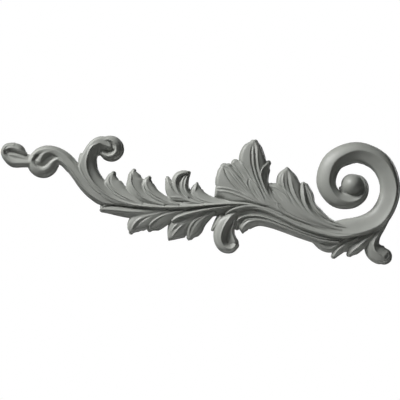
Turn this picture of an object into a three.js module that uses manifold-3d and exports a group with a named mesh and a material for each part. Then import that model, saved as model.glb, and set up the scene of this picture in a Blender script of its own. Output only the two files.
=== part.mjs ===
import * as THREE from 'three';
import { mergeVertices } from 'three/addons/utils/BufferGeometryUtils.js';
import Module from 'manifold-3d';

// Scroll onlay: one moulded piece with a flat back, a big volute on the right, an acanthus leaf,
// a fluted rib and two small curls on the left. X runs along its length, Z is up, the front is -Y.
// Every ridge is a short list of stations from one end to the other. A station is
// [x, y, left, right, height]: where the crest is on the drawing, how far the ridge reaches to the
// left and to the right of the way it runs, and how high the crest stands off the back on the drawing.

const wasm = await Module();
wasm.setup();

// Driving sizes, in millimetres
const LENGTH = 356;
const RELIEF = 14;
const EDGE_THICKNESS = 3;
const EYE_HEIGHT = 17;
const EYE_BASE = 4;
const BEHIND = EDGE_THICKNESS / 3;

// The onlay is drawn 399 units long, with y downwards. Places and widths are shares of that length.
const DRAWN_LENGTH = 399;
const UNIT = LENGTH / DRAWN_LENGTH;
// Crest heights are drawn for a relief of 14, the highest that the carving stands beside the eye
const DRAWN_RELIEF = 14;
const RISE = RELIEF / DRAWN_RELIEF;
const ORIGIN = { x: 200, y: 208 };

// How a ridge falls from its crest to its edge: the share left at the edge before it is rolled over,
// how the fall is bent, and how sharp the rolled edge is. MARKS are the places where it is measured.
const FALLS = {
  leaf: { floor: 0.45, bend: 1, roll: 3, marks: [0.5, 0.85] },
  plate: { floor: 0.72, bend: 1, roll: 5, marks: [0.84] },
  flat: { floor: 0.92, bend: 1, roll: 9, marks: [0.9] },
  tilt: { floor: 0.62, bend: 1, roll: 6, marks: [0.84] },
  bulge: { floor: 0.6, bend: 1, roll: 2.2, marks: [0.45, 0.82] },
  round: { floor: 0.6, bend: 1, roll: 3, marks: [0.8] },
  fine: { floor: 0, bend: 1, roll: 3, marks: [0.6] },
  cove: { floor: 0.66, bend: 2.2, roll: 5, marks: [0.3, 0.84] },
  swell: { floor: 0.75, bend: 1, roll: 2.2, marks: [0.45, 0.82] },
  shed: { floor: 0.2, bend: 0.8, roll: 4, marks: [0.7] },
};

// A rounded end: how far out its sections are, as shares of the reach there
const ROUND_END = [0.55, 0.88, 1];
const SMALL_END = [0.72, 1];
const SMALL_REACH = 3.2;
const TIP_SHARE = 0.22;

const SECTIONS_PER_SPAN = 1.2;
const FINE_SECTIONS_PER_SPAN = 2.2;
const EYE_SIDES = 24;
const EYE_RINGS = 5;
const WELD = 1e-4;

// Height share of a fall at distance u from the crest, 0 at the crest and 1 at the edge
function fallShare(fall, u) {
  const slope = fall.floor + (1 - fall.floor) * (1 - u) ** fall.bend;
  return slope * Math.sqrt(Math.max(1 - u ** fall.roll, 0));
}

// A point of the drawing with a height, in millimetres
function place(x, y, height) {
  return [(x - ORIGIN.x) * UNIT, -height, (ORIGIN.y - y) * UNIT];
}

// Section of a ridge: a loop from the foot of the crest round the left, the crest and the right.
// Every piece goes a little behind the back, which is cut flat at the end.
// beyond is how far past the first (negative) or last (positive) station it lies, as a share of the reach.
function section(crest, along, shape, falls, beyond) {
  const out = Math.abs(beyond);
  const width = Math.max(Math.sqrt(1 - out * out), TIP_SHARE);
  const ahead = beyond * (shape.left + shape.right) / 2;
  const edge = Math.min(shape.height, EDGE_THICKNESS);
  const loop = [];
  const add = (side, share, height) => {
    const step = side * share * width * (side > 0 ? shape.left : shape.right);
    const x = crest.x + along.x * ahead + along.y * step;
    const y = crest.y + along.y * ahead - along.x * step;
    loop.push(place(x, y, height));
  };
  const heightAt = (fall, share) => {
    const u = Math.min(Math.hypot(out, share * width), 1);
    return edge + (shape.height - edge) * fallShare(fall, u);
  };
  add(1, 0, -BEHIND);
  add(1, 1, -BEHIND);
  add(1, 1, edge);
  for (const mark of [...falls[0].marks].reverse()) add(1, mark, heightAt(falls[0], mark));
  add(1, 0, heightAt(falls[0], 0));
  for (const mark of falls[1].marks) add(-1, mark, heightAt(falls[1], mark));
  add(-1, 1, edge);
  add(-1, 1, -BEHIND);
  return loop;
}

// Solid of points and triangles, turned so that its faces point out
function solid(points, triangles) {
  let volume = 0;
  for (let i = 0; i < triangles.length; i += 3) {
    const [a, b, c] = [points[triangles[i]], points[triangles[i + 1]], points[triangles[i + 2]]];
    volume += a[0] * (b[1] * c[2] - b[2] * c[1]) - a[1] * (b[0] * c[2] - b[2] * c[0])
      + a[2] * (b[0] * c[1] - b[1] * c[0]);
  }
  const mesh = new wasm.Mesh({
    numProp: 3,
    vertProperties: new Float32Array(points.flat()),
    triVerts: new Uint32Array(volume > 0 ? triangles : [...triangles].reverse()),
  });
  return new wasm.Manifold(mesh);
}

// Closed solid through a row of sections
function skin(loops) {
  const count = loops[0].length;
  const last = (loops.length - 1) * count;
  const triangles = [];
  for (let k = 0; k < last; k += count) {
    for (let i = 0; i < count; i += 1) {
      const a = k + i;
      const b = k + (i + 1) % count;
      triangles.push(a, b, b + count, a, b + count, a + count);
    }
  }
  for (let i = 1; i + 1 < count; i += 1) {
    triangles.push(0, i + 1, i, last, last + i, last + i + 1);
  }
  return solid(loops.flat(), triangles);
}

// A ridge through its stations. left and right name its falls, ends says which ends are rounded,
// density is how many sections it has between two stations.
function ridge(stations, {
  left = 'leaf', right = 'leaf', ends = [true, true], density = SECTIONS_PER_SPAN,
} = {}) {
  const path = new THREE.CatmullRomCurve3(
    stations.map((s) => new THREE.Vector3(s[0], s[1], 0)), false, 'catmullrom');
  const sizes = new THREE.CatmullRomCurve3(
    stations.map((s) => new THREE.Vector3(s[2], s[3], s[4])), false, 'catmullrom');
  const falls = [FALLS[left], FALLS[right]];
  const cut = (t, beyond) => {
    const size = sizes.getPoint(t);
    const shape = { left: size.x, right: size.y, height: size.z * RISE };
    return section(path.getPoint(t), path.getTangent(t), shape, falls, beyond);
  };
  const endShares = (station) => ((station[2] + station[3]) / 2 < SMALL_REACH ? SMALL_END : ROUND_END);
  const spans = Math.ceil(density * (stations.length - 1));
  const loops = [];
  if (ends[0]) {
    for (const share of [...endShares(stations[0])].reverse()) loops.push(cut(0, -share));
  }
  for (let k = 0; k <= spans; k += 1) loops.push(cut(k / spans, 0));
  if (ends[1]) {
    for (const share of endShares(stations.at(-1))) loops.push(cut(1, share));
  }
  return skin(loops);
}

// Solid of a closed three.js geometry
function solidOf(geometry) {
  geometry.deleteAttribute('normal');
  geometry.deleteAttribute('uv');
  const closed = mergeVertices(geometry, WELD);
  const points = [];
  for (let i = 0; i < closed.attributes.position.count; i += 1) {
    points.push(new THREE.Vector3().fromBufferAttribute(closed.attributes.position, i).toArray());
  }
  const faces = [];
  for (let i = 0; i < closed.index.count; i += 3) {
    const corners = [closed.index.getX(i), closed.index.getX(i + 1), closed.index.getX(i + 2)];
    if (new Set(corners).size === 3) faces.push(...corners);
  }
  return solid(points, faces);
}

// A round dome on a short straight wall
function dome(centre, radius, height) {
  const profile = [
    new THREE.Vector2(0, -BEHIND),
    new THREE.Vector2(1, -BEHIND),
    new THREE.Vector2(1, EYE_BASE),
  ];
  for (let k = 1; k <= EYE_RINGS; k += 1) {
    const angle = (k / EYE_RINGS) * Math.PI / 2;
    const rise = EYE_BASE + (height - EYE_BASE) * Math.sin(angle);
    profile.push(new THREE.Vector2(k === EYE_RINGS ? 0 : Math.cos(angle), rise));
  }
  const lathe = new THREE.LatheGeometry(profile, EYE_SIDES);
  lathe.rotateX(Math.PI);
  lathe.scale(radius * UNIT, 1, radius * UNIT);
  const [x, y, z] = place(centre.x, centre.y, 0);
  lathe.translate(x, y, z);
  return solidOf(lathe);
}

// Small curl at the left end, its bulb rolled over a shallow hollow
function tailCurl() {
  return [
    ridge([
      [8, 152, 4, 4, 8.1], [15, 155, 6, 7, 7.9], [24, 158, 5, 7, 7.6], [33, 160, 5, 6, 6.6],
    ], { left: 'round', right: 'round' }),
    ridge([
      [33, 162.4, 4.9, 6, 8.2], [22.5, 163, 4.3, 8, 8.8], [13.5, 162.6, 4.6, 8.4, 9],
      [6.7, 158, 3.4, 5, 9], [3.8, 151.6, 3, 3, 9], [6.8, 146.4, 3, 3.2, 9.3],
      [14, 145.4, 3.1, 3.6, 9.5],
    ], { left: 'round', right: 'round' }),
    ridge([
      [6.4, 149.2, 2, 2, 9.2], [10, 147.5, 3.6, 3.6, 9.7], [14.6, 147.8, 5, 5, 9.9],
      [19.6, 149.8, 5, 5, 9.6], [24.4, 153.6, 2.8, 3.2, 8.4],
    ], { left: 'swell', right: 'swell' }),
  ];
}

// Second curl, its rim running on into the lower side of the stem
function secondCurl() {
  return [
    ridge([
      [38, 161, 6, 7, 8.2], [46, 160, 8, 8, 7.4], [56, 157, 6, 5, 7.8], [66, 163, 5, 3, 8.4],
    ], { left: 'round', right: 'round' }),
    ridge([
      [34.5, 153.6, 2.4, 3, 9.2], [40, 150.4, 3.4, 4, 10.2], [48.5, 148.9, 3.7, 5, 10.8],
      [58, 150.9, 3.7, 6, 11], [67, 156.5, 3.9, 8, 11], [74, 164.3, 4.2, 9, 11], [81, 174.3, 4.2, 9, 11],
      [89, 184.8, 4.2, 8, 10.9], [99, 194.2, 4, 6, 10.8], [112, 200.3, 2, 2, 10.2],
    ], { right: 'flat' }),
    ridge([
      [35, 154.8, 2.6, 3.6, 9], [32, 160, 3.4, 4.6, 9.4], [34.2, 165.8, 4, 6.4, 9.4],
      [39, 169.4, 4.2, 7.5, 9.4], [44.4, 169.8, 4.2, 8.2, 9.4], [49, 167, 4, 8.2, 9.4],
      [52.6, 162.8, 3.4, 7.2, 9.6], [56.4, 159.5, 2.6, 6.4, 10], [60.4, 159.4, 2.4, 5.6, 10.4],
      [64.6, 162.8, 2.6, 4.4, 10.7], [69.5, 168.8, 2.6, 3.8, 10.8],
    ], { left: 'round', right: 'bulge' }),
    ridge([
      [40.4, 161, 4.6, 4.4, 8.8], [42.2, 157.2, 5.6, 5, 9.9], [45.6, 153, 5.2, 5, 10.7],
      [54, 150.6, 3, 3, 11],
    ], { left: 'swell', right: 'swell' }),
  ];
}

// Stem between the second curl and the rib
function stem() {
  return [
    ridge([
      [61, 160, 3, 4.4, 10.3], [68.5, 167.2, 9, 3.7, 10.9], [75.5, 176.3, 10, 3.5, 11.2],
      [83, 186.8, 10, 3.6, 11.2], [92, 195.4, 9, 3.9, 11], [103, 202, 6, 3.8, 10.6],
      [120, 205, 1.4, 1.4, 9],
    ], { left: 'flat', right: 'bulge' }),
    ridge([
      [81, 154.2, 1.6, 1.4, 7], [80.2, 161, 2.2, 2, 9.4], [82, 170, 2.6, 2, 11],
      [86, 178, 2.8, 2.2, 11.4], [92, 186.5, 2.8, 2.2, 11.4], [101, 194, 2.6, 2.2, 11.2],
      [113, 200, 1, 1, 10],
    ], { left: 'fine', right: 'fine' }),
  ];
}

// Open hook above the stem: a broad band with a hollow inside, and a rolled end
function hook() {
  return [
    ridge([
      [97, 150, 6, 6, 6.4], [105, 146.5, 6, 6, 9], [111, 147, 6, 6, 9.2],
    ], { left: 'round', right: 'round' }),
    ridge([
      [106.4, 146, 4.2, 10.4, 11], [99.5, 143.4, 7.4, 7.2, 11.8], [92.8, 146.8, 8.4, 5.6, 12.2],
      [88.2, 155, 9.4, 6, 12.2], [86.6, 164, 10.6, 8, 12.2], [88, 172.5, 10.6, 7.4, 12.2],
      [92.4, 181, 10.6, 6.2, 12], [99.3, 188.5, 9.8, 5, 11.8], [108, 195.5, 9, 5, 11.5],
      [118, 200.5, 7, 4, 11.2], [132, 204.3, 4, 3, 11],
    ], { left: 'cove', right: 'flat' }),
    ridge([
      [103, 140.4, 3, 3, 11.2], [108.6, 139.6, 4.2, 3, 11.8], [113.6, 141.7, 5.7, 4, 12],
      [116.8, 146, 6.5, 4.4, 11.8], [116.8, 151, 6.9, 4.6, 11.3], [113, 155.2, 6.3, 4.6, 10.7],
      [107.6, 155.8, 5, 4, 10.1], [102.8, 153, 3.6, 3, 9],
    ], { left: 'bulge' }),
  ];
}

// Rib along the middle, and the body under the leaves beside it
function rib() {
  return [
    ridge([
      [103, 207, 3, 3, 6], [127, 205.5, 17, 8, 7.5], [145, 207, 19, 14, 8], [165, 208.5, 12, 12, 8.2],
      [190, 207.5, 12, 16, 8.2], [213, 206, 9, 10.5, 8.4], [240, 205, 10, 9, 9], [262, 207, 10, 6, 9],
    ], { left: 'round', right: 'round' }),
    ridge([
      [118, 200.5, 3, 3, 11], [132, 204.3, 4, 3, 11.4], [147, 206.3, 4.5, 3, 11.8],
      [165, 207.3, 4.5, 3, 11.9], [190, 206.5, 4.5, 3, 11.9], [215, 204.5, 4.5, 3, 12],
      [240, 203.7, 4, 3, 12.2], [262, 207.4, 3, 3, 12.3], [282, 215, 2, 2, 12.3],
    ]),
    ridge([
      [172, 221, 1.5, 1.6, 9.4], [177, 217.6, 3.4, 3.6, 11], [186, 214.4, 4, 3.6, 11.9],
      [198, 211.4, 4, 3.4, 12.2], [215, 208, 3, 3.4, 12.2], [238, 205, 1.5, 2, 12],
    ], { right: 'shed' }),
  ];
}

// Three pointed flutes above the rib
function upperFlutes() {
  return [
    ridge([
      [113.6, 173.6, 2.6, 2.7, 6.8], [112.4, 176.6, 5.6, 5, 7.6], [112, 181.8, 8, 7.2, 8.6],
      [114.4, 187, 9.4, 7.7, 9.3], [119.5, 192.8, 9, 6.5, 9.8], [128.5, 198, 6, 5, 10.3],
      [142, 204, 2, 2, 10.6],
    ], { left: 'tilt', right: 'flat' }),
    ridge([
      [133.8, 170.8, 2.5, 2.3, 6.6], [133.2, 174, 7.6, 4.4, 7.6], [132.4, 179.5, 12, 5.2, 8.6],
      [134, 186.8, 10.8, 8, 9.4], [139.4, 194.2, 8, 7, 10], [149.5, 200, 5, 5, 10.5],
      [164, 205, 2, 2, 11.4],
    ], { left: 'tilt', right: 'plate' }),
    ridge([
      [149.2, 177.8, 2.3, 2.3, 6.6], [148.2, 180, 4, 4.2, 7.4], [147.6, 184.2, 6.2, 5, 8.4],
      [149.4, 190, 7.2, 5.6, 9.2], [155, 195.4, 6.2, 5.4, 9.8], [163.5, 200, 5, 5, 10.3],
      [178, 205, 2, 2, 11.4],
    ], { left: 'tilt', right: 'flat' }),
  ];
}

// Small leaf above the rib: a narrow lobe, a curled lobe with a trough, a short lobe
function middleLeaf() {
  return [
    ridge([
      [167, 179.2, 3.2, 2, 6.6], [169, 184, 4.4, 4.3, 8.2], [172, 190, 5, 6.9, 9.2],
      [178, 196, 4, 9, 9.8], [188, 200.5, 4, 6, 10.3], [202, 203.6, 2, 2, 10.6],
    ], { left: 'plate', right: 'plate' }),
    ridge([
      [185.4, 175.6, 2.2, 2.6, 7.4], [182.6, 181, 4, 4, 8.7], [182.4, 188, 5, 5, 9.4],
      [188, 197, 5, 6, 9.7],
    ], { left: 'round', right: 'round' }),
    ridge([
      [189.2, 172.6, 1.6, 1.7, 7.8], [183.4, 172.9, 3.4, 2.8, 8.8], [178, 175.6, 4.2, 3.6, 9.6],
      [175.6, 180.3, 4.4, 3.9, 10], [176.2, 187, 4.6, 3.8, 10], [180, 194, 4, 4, 10],
      [189, 200.5, 2, 2, 10],
    ], { right: 'swell' }),
    ridge([
      [189, 174.2, 1.4, 1.5, 7], [186.3, 180, 2.6, 4, 8.6], [185.5, 187, 3.4, 4.4, 9.5],
      [188.3, 194, 4.4, 4, 10], [195, 199.5, 5, 4, 10.2], [208, 203.6, 2, 2, 10.6],
    ]),
    ridge([
      [197, 183.4, 1.4, 1.5, 6.2], [196.4, 186.8, 4.4, 4.2, 7.6], [196.4, 191, 6.6, 6, 8.6],
      [199.3, 195.6, 6.4, 6, 9.4], [205, 199.3, 5.8, 5, 10], [213.5, 202.2, 5, 4, 10.4],
      [227, 204, 3, 2, 11],
    ], { left: 'tilt', right: 'flat' }),
  ];
}

// Lobes under the rib
function lowerLobes() {
  return [
    ridge([
      [102.6, 209.4, 2.6, 3.2, 7.6], [110, 209.2, 4, 4.8, 8.8], [120, 210.4, 4, 5.9, 9.2],
      [132, 211.6, 4, 6.8, 9.4], [146, 211.6, 3.5, 6.4, 9.6], [164, 210, 1.5, 3, 10],
    ], { left: 'flat', right: 'swell' }),
    ridge([
      [102, 207.4, 1.5, 1.8, 7.8], [105, 205.2, 2, 2, 9.2], [110, 203.6, 2, 2, 9.8],
      [118, 204, 1.5, 1, 10],
    ]),
    ridge([
      [131, 232.4, 2.3, 2.4, 5.6], [132.4, 229, 5.8, 6.6, 6.6], [135.6, 224, 8.4, 10.2, 7.8],
      [142, 219, 9.6, 11.4, 8.8], [152, 215, 6, 9.6, 9.4], [169, 210.4, 2, 3, 10],
    ], { left: 'plate', right: 'tilt' }),
    ridge([
      [149.6, 229.4, 2.6, 2.8, 5.6], [152.8, 225.4, 5.6, 7.6, 7], [158.8, 220.2, 7, 9, 8.4],
      [168, 214.4, 5, 8.6, 9.4], [185, 209.6, 2, 3, 10],
    ], { left: 'plate', right: 'tilt' }),
    ridge([
      [176.4, 239.4, 8.2, 9, 5.2], [175.8, 235.8, 8.5, 10.2, 6], [177.6, 230, 10.6, 9.8, 7.2],
      [181.6, 223.6, 11, 9.4, 8.4], [188, 217.8, 7, 9, 9.3], [201, 211.6, 2, 3, 10],
    ], { left: 'plate', right: 'plate', ends: [false, true] }),
    ridge([
      [190.4, 237.2, 4, 3, 5.2], [191.8, 233.4, 7, 7.2, 6.6], [194.6, 227.6, 8.8, 8.8, 8],
      [200.4, 220.4, 8, 7.2, 9.1], [213, 211.4, 4, 3.6, 10.3],
    ], { left: 'plate', right: 'tilt' }),
  ];
}

// Left half of the big leaf, up to its tallest lobe
function bigLeaf() {
  return [
    ridge([
      [228, 172, 7, 8, 6], [240, 184, 14, 14, 7.5], [252, 195, 18, 12, 10.4], [266, 203.6, 14, 7, 12],
      [280, 211, 14, 6, 12.2], [298, 219, 12, 6, 12.2], [325, 228, 8, 5, 11.6],
    ], { left: 'flat', right: 'round' }),
    ridge([
      [215, 189.6, 3.4, 7.4, 9.4], [226, 191, 4, 8.4, 10.6], [236, 193.6, 4, 8, 11.2],
      [247, 197.8, 3, 6, 11.8], [260, 204, 2, 2, 12],
    ], { left: 'flat', right: 'plate', ends: [false, true] }),
    ridge([
      [224, 166.8, 4.1, 3.9, 8.4], [223.4, 173, 8, 7, 10], [226.4, 181, 12, 12.2, 10.9],
      [236, 190, 8, 14, 11.4], [249, 197, 4, 6, 11.8], [263, 204, 2, 2, 12],
    ], { left: 'flat', right: 'flat' }),
    ridge([
      [228.2, 167.2, 4.2, 3.8, 8.8], [231.5, 174.5, 6.4, 4.4, 10], [237.5, 183, 6, 5, 10.9],
      [245.5, 191.2, 4.4, 4.4, 11.5], [255, 198.6, 3.5, 4, 12], [266, 205, 1.5, 1.5, 12.1],
    ], { left: 'flat', right: 'flat' }),
    ridge([
      [235.2, 163, 4.2, 4.2, 9], [239.8, 168.4, 6, 6.8, 10.2], [246, 177.5, 5.6, 6, 11],
      [252.6, 187.5, 4.6, 5.4, 11.7], [260, 196.4, 4, 4.4, 12], [269, 204.6, 1.5, 1.5, 12.1],
    ], { left: 'flat', right: 'flat' }),
    ridge([
      [252.8, 142.2, 3, 2.8, 8.8], [250.2, 149.5, 4.8, 8.6, 11], [249.6, 160.5, 6, 10.8, 12],
      [252.4, 172, 5, 7, 12.4], [258.5, 186, 4, 5, 12.7], [267, 198.6, 3, 3, 12.6],
      [280, 209.6, 2, 2, 12.3],
    ], { left: 'flat', right: 'flat' }),
    ridge([
      [255.2, 141.8, 2.6, 2.2, 8.6], [257, 149.5, 5.6, 4, 10.6], [257.5, 160, 8.4, 4.4, 11.9],
      [259.5, 172, 7.7, 4, 12.6], [263.5, 184, 5, 3, 12.9], [270.6, 196, 4, 3, 12.8],
      [284, 209, 2, 2, 12.4],
    ], { left: 'tilt', right: 'flat' }),
  ];
}

// Right half of the big leaf, running down into the stem of the volute
function bigLeafRight() {
  return [
    ridge([
      [268.4, 163, 2.6, 2.8, 9.2], [264.8, 166.6, 6.2, 4, 10.4], [262.4, 173.5, 6.8, 3.4, 11.4],
      [264, 183, 4.8, 3.4, 12], [268.8, 193, 4, 3, 12.3], [278, 205, 2, 2, 12.3],
    ], { left: 'tilt' }),
    ridge([
      [271, 185.2, 2.6, 2.6, 9.4], [276, 188.4, 5.4, 6, 10.6], [282, 194.4, 4.5, 8, 11.5],
      [289.5, 203.4, 4, 8, 12.2], [300, 213, 3, 4, 12.5], [316, 222, 1.5, 1.5, 12.3],
    ], { left: 'flat', right: 'flat' }),
    ridge([
      [287, 168.8, 2, 2.1, 8], [283.5, 177, 5, 6.4, 10], [284.3, 187, 5, 7.2, 11.1],
      [289.5, 198, 5, 6, 12], [300, 210.5, 4, 5, 12.5], [318, 222, 3, 3, 12.6], [340, 230, 1.5, 1.5, 12],
    ], { left: 'flat', right: 'flat' }),
    ridge([
      [288, 169.4, 1.8, 1.8, 8], [290.7, 178, 6.2, 4, 10], [292.7, 188, 8.8, 4.4, 11.1],
      [297.5, 199, 7, 4.4, 11.9], [307, 211, 5, 4, 12.4], [323, 221, 3, 3, 12.2],
      [345, 227, 1.5, 1.5, 11.4],
    ], { left: 'tilt', right: 'flat' }),
    ridge([
      [305, 186.4, 3.6, 3.6, 8.6], [308, 195, 4, 4, 9.8], [312, 205, 4, 4, 10.8], [319, 213, 4, 4, 11.6],
      [330, 221, 2, 2, 11.8],
    ], { left: 'round', right: 'round' }),
    ridge([
      [302.8, 184.6, 3, 2.6, 9.2], [303.2, 194, 4.8, 4.4, 11.2], [305.7, 204, 4.8, 4.6, 12.2],
      [313, 213.8, 4.4, 4.4, 12.6], [328, 223.5, 2, 2, 12],
    ], { right: 'flat' }),
    ridge([
      [306.4, 187.2, 2.8, 2.6, 9], [310.6, 195, 2.9, 4.6, 10], [313, 203.5, 2.2, 5, 10.8],
      [318.4, 211.7, 1.9, 5, 11.4], [325, 217, 1.9, 4, 11.6], [334.4, 222.4, 1.6, 2.4, 11.4],
      [343, 225.4, 1.2, 1.4, 10.6],
    ], { left: 'swell' }),
  ];
}

// Hook that hangs under the leaf, and the stem from it to the volute
function lowerStem() {
  return [
    ridge([
      [236, 214, 4, 4, 8], [250, 212, 5, 4, 8.6], [264, 213.5, 5, 5, 9], [283, 221, 5, 5, 9.4],
      [303, 229.5, 5, 5, 9.6], [323, 236, 4, 4, 10],
    ], { left: 'round', right: 'round' }),
    ridge([
      [243.4, 227, 4, 4, 6.4], [249, 220.4, 6.8, 5.6, 8], [260, 218, 6, 6.6, 9],
      [283, 224.6, 6, 6.6, 9.7], [303, 232.4, 6, 6, 10], [325, 238.6, 5, 5, 10.4],
    ], { left: 'flat', right: 'round' }),
    ridge([
      [226, 213.6, 1.6, 1.6, 9.4], [232, 209.8, 3, 4.4, 11.6], [241, 206.9, 3, 5.4, 12.3],
      [252, 206.2, 3, 5.6, 12.5], [264, 209.4, 3, 5, 12.6], [282, 217.4, 3, 3, 12.8],
      [300, 224, 2, 2, 12.8],
    ], { left: 'swell', right: 'shed' }),
    ridge([
      [238, 217, 5.6, 3, 7.6], [236.8, 223.4, 5.4, 3.6, 6.4], [236.6, 227.4, 3, 2.8, 5],
    ], { left: 'round', right: 'round' }),
    ridge([
      [230, 222, 5, 5, 6.4], [229.5, 230, 5, 5.4, 6.2], [230, 236.5, 5.2, 5.4, 6.2],
      [231, 242.6, 7.6, 7, 6.6],
    ], { left: 'round', right: 'round' }),
    ridge([
      [235.6, 217.4, 1.6, 3, 8.4], [233.4, 223.4, 2, 5, 8.8], [232, 230, 2.2, 6.2, 9],
      [232.8, 236, 2.6, 7, 9], [234.8, 241.6, 3.4, 7, 9],
    ], { left: 'swell', right: 'fine' }),
    ridge([
      [220.4, 217.6, 4.4, 4.2, 9.4], [215.8, 224.2, 3, 3, 8.4], [212.4, 229.8, 1.5, 1.7, 6.4],
    ]),
    ridge([
      [236, 212.6, 3, 2, 9.4], [230.4, 216.6, 6, 4.4, 11], [225.2, 224, 5.6, 9.4, 11.4],
      [221.4, 232, 5.6, 8, 11.2], [220.8, 240, 5.4, 7, 10.8], [224.4, 246.4, 4.6, 6.4, 10.4],
      [230.4, 248.4, 4.4, 5, 10], [235, 245.4, 3.6, 4, 9.4],
    ], { left: 'cove', right: 'plate' }),
    ridge([
      [242.5, 232.5, 1.2, 1.3, 6], [242.8, 229.6, 3.8, 5, 7.4], [243.4, 226.4, 5.2, 6.6, 8.2],
      [248.8, 221.6, 5, 7.4, 9.4], [259, 219.8, 4, 6.3, 9.6], [271, 222.4, 4, 5.7, 10],
      [285, 227.6, 4, 5.2, 10.4], [302, 234.2, 4, 4.9, 10.6], [320, 240, 4, 4.6, 10.8],
      [338, 242, 3, 4, 10.8],
    ], { right: 'shed' }),
    ridge([
      [237, 220.5, 1.6, 1.8, 9.5], [242, 217, 2.2, 2.2, 10.6], [251, 215.6, 2.2, 2.2, 11],
      [263, 217, 2.2, 2.2, 11.4], [281, 223.6, 2.2, 2.2, 11.8], [301, 231.6, 2.2, 2.2, 12],
      [321, 237.8, 2.2, 2.2, 12], [340, 240, 2, 2, 12],
    ], { left: 'fine', right: 'fine' }),
  ];
}

// Curled foot and the three small lobes under the volute
function foot() {
  return [
    ridge([
      [300, 233, 3, 3, 9], [318, 241, 4, 4, 7], [330, 246, 5, 6, 6.4], [348, 246, 6, 6, 7],
      [364, 243, 6, 6, 7],
    ], { left: 'round', right: 'round' }),
    ridge([
      [347, 237.4, 4, 4, 9.6], [338, 243.8, 5, 4, 8.8], [330, 247.8, 5, 3.8, 7.8],
      [322.4, 245.6, 5, 3.4, 7.4], [315.4, 241, 3.6, 2.2, 7.8],
    ]),
    ridge([
      [357, 238, 4, 4, 9.6], [346, 244, 5, 5.2, 8.8], [338.6, 250, 5, 6, 7.6],
      [333.6, 256.4, 2.6, 2.8, 6],
    ], { left: 'shed' }),
    ridge([
      [372, 234, 5, 5, 10.2], [361, 243, 6.2, 6.4, 9.4], [353.2, 249.8, 6, 7, 8],
      [349.4, 254.4, 2.8, 3.2, 6.4],
    ], { left: 'shed' }),
    ridge([
      [388, 219, 1.6, 6, 9], [382, 229, 2.4, 8, 10], [376.5, 236.5, 3.8, 8.4, 10.2],
      [373.2, 243.5, 6.6, 8.8, 9.8], [374.6, 250.3, 9.2, 9.8, 9.2], [379.2, 254.6, 9.4, 9.8, 9],
      [383.6, 256.4, 8.2, 8.4, 8.8],
    ], { right: 'bulge' }),
  ];
}

// Volute: the band leaves the stem, runs round one and a half times and closes on the eye
const VOLUTE = {
  centre: { x: 353, y: 185 },
  startAngle: -100,
  stepAngle: 45,
  // radius of the crest after each quarter turn
  radii: [51.5, 42.4, 35.1, 25.1, 16.6, 11.9, 9.6],
  // left reach, right reach and height of the crest after each eighth of a turn
  sizes: [
    [16.4, 4.2, 13.8], [16.4, 4.8, 13.8], [15.3, 5.1, 13.6], [15.4, 7, 13.4], [13.9, 8.5, 13],
    [9.8, 11.2, 12.8], [7.4, 12, 12.5], [6.4, 10.3, 12.2], [8.6, 7.5, 12], [7.6, 5.6, 11.4],
    [5.4, 3.8, 10.6], [3.4, 2.6, 9.4], [2.8, 1.6, 7],
  ],
  eye: { x: 351.8, y: 184.4 },
  eyeRadius: 10.7,
};

function volute() {
  const steps = VOLUTE.sizes.length - 1;
  const radii = new THREE.CatmullRomCurve3(
    VOLUTE.radii.map((r) => new THREE.Vector3(r, 0, 0)), false, 'catmullrom');
  const turns = VOLUTE.sizes.map((size, k) => {
    const angle = THREE.MathUtils.degToRad(VOLUTE.startAngle + VOLUTE.stepAngle * k);
    const radius = radii.getPoint(k / steps).x;
    return [
      VOLUTE.centre.x + radius * Math.cos(angle),
      VOLUTE.centre.y - radius * Math.sin(angle),
      ...size,
    ];
  });
  const stem = [
    [246, 207.4, 1, 1, 11.6], [263, 209.8, 3, 3, 12.6], [282, 218, 7, 3.4, 13], [300, 226.5, 9, 4, 13.4],
    [322, 233.4, 13, 4, 13.6],
  ];
  return [
    ridge([...stem, ...turns], { left: 'cove', right: 'swell', density: FINE_SECTIONS_PER_SPAN }),
    ridge([
      [341.2, 188.4, 2.4, 2.4, 6.4], [345.4, 193, 3.2, 3, 7.6], [352, 195.4, 3.4, 3, 8.2],
      [358.4, 193.4, 3.4, 3, 8.2], [362.4, 188.3, 3, 2.6, 8], [363, 182, 2, 2, 7.5],
    ]),
    dome(VOLUTE.eye, VOLUTE.eyeRadius, EYE_HEIGHT),
  ];
}

// All the pieces of carving joined two by two into one solid
function joined(solids) {
  if (solids.length === 1) return solids[0];
  const half = Math.ceil(solids.length / 2);
  return joined(solids.slice(0, half)).add(joined(solids.slice(half)));
}

// Everything behind the flat back
function behindBack() {
  const block = new THREE.BoxGeometry(2 * LENGTH, 2 * BEHIND, LENGTH);
  block.translate(0, BEHIND, 0);
  return solidOf(block);
}

function geometryOf(solidBody) {
  const mesh = solidBody.getMesh();
  const geometry = new THREE.BufferGeometry();
  geometry.setAttribute('position', new THREE.BufferAttribute(mesh.vertProperties.slice(), 3));
  geometry.setIndex(new THREE.BufferAttribute(mesh.triVerts.slice(), 1));
  geometry.computeVertexNormals();
  return geometry;
}

const carving = joined([
  ...tailCurl(),
  ...secondCurl(),
  ...stem(),
  ...hook(),
  ...rib(),
  ...upperFlutes(),
  ...middleLeaf(),
  ...lowerLobes(),
  ...bigLeaf(),
  ...bigLeafRight(),
  ...lowerStem(),
  ...foot(),
  ...volute(),
]).subtract(behindBack());

const primedGrey = new THREE.MeshStandardMaterial({ color: 0x8a8c87, roughness: 0.5, metalness: 0 });
const onlay = new THREE.Mesh(geometryOf(carving), primedGrey);
onlay.name = 'scroll_onlay';

const group = new THREE.Group();
group.add(onlay);

export default group;
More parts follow.
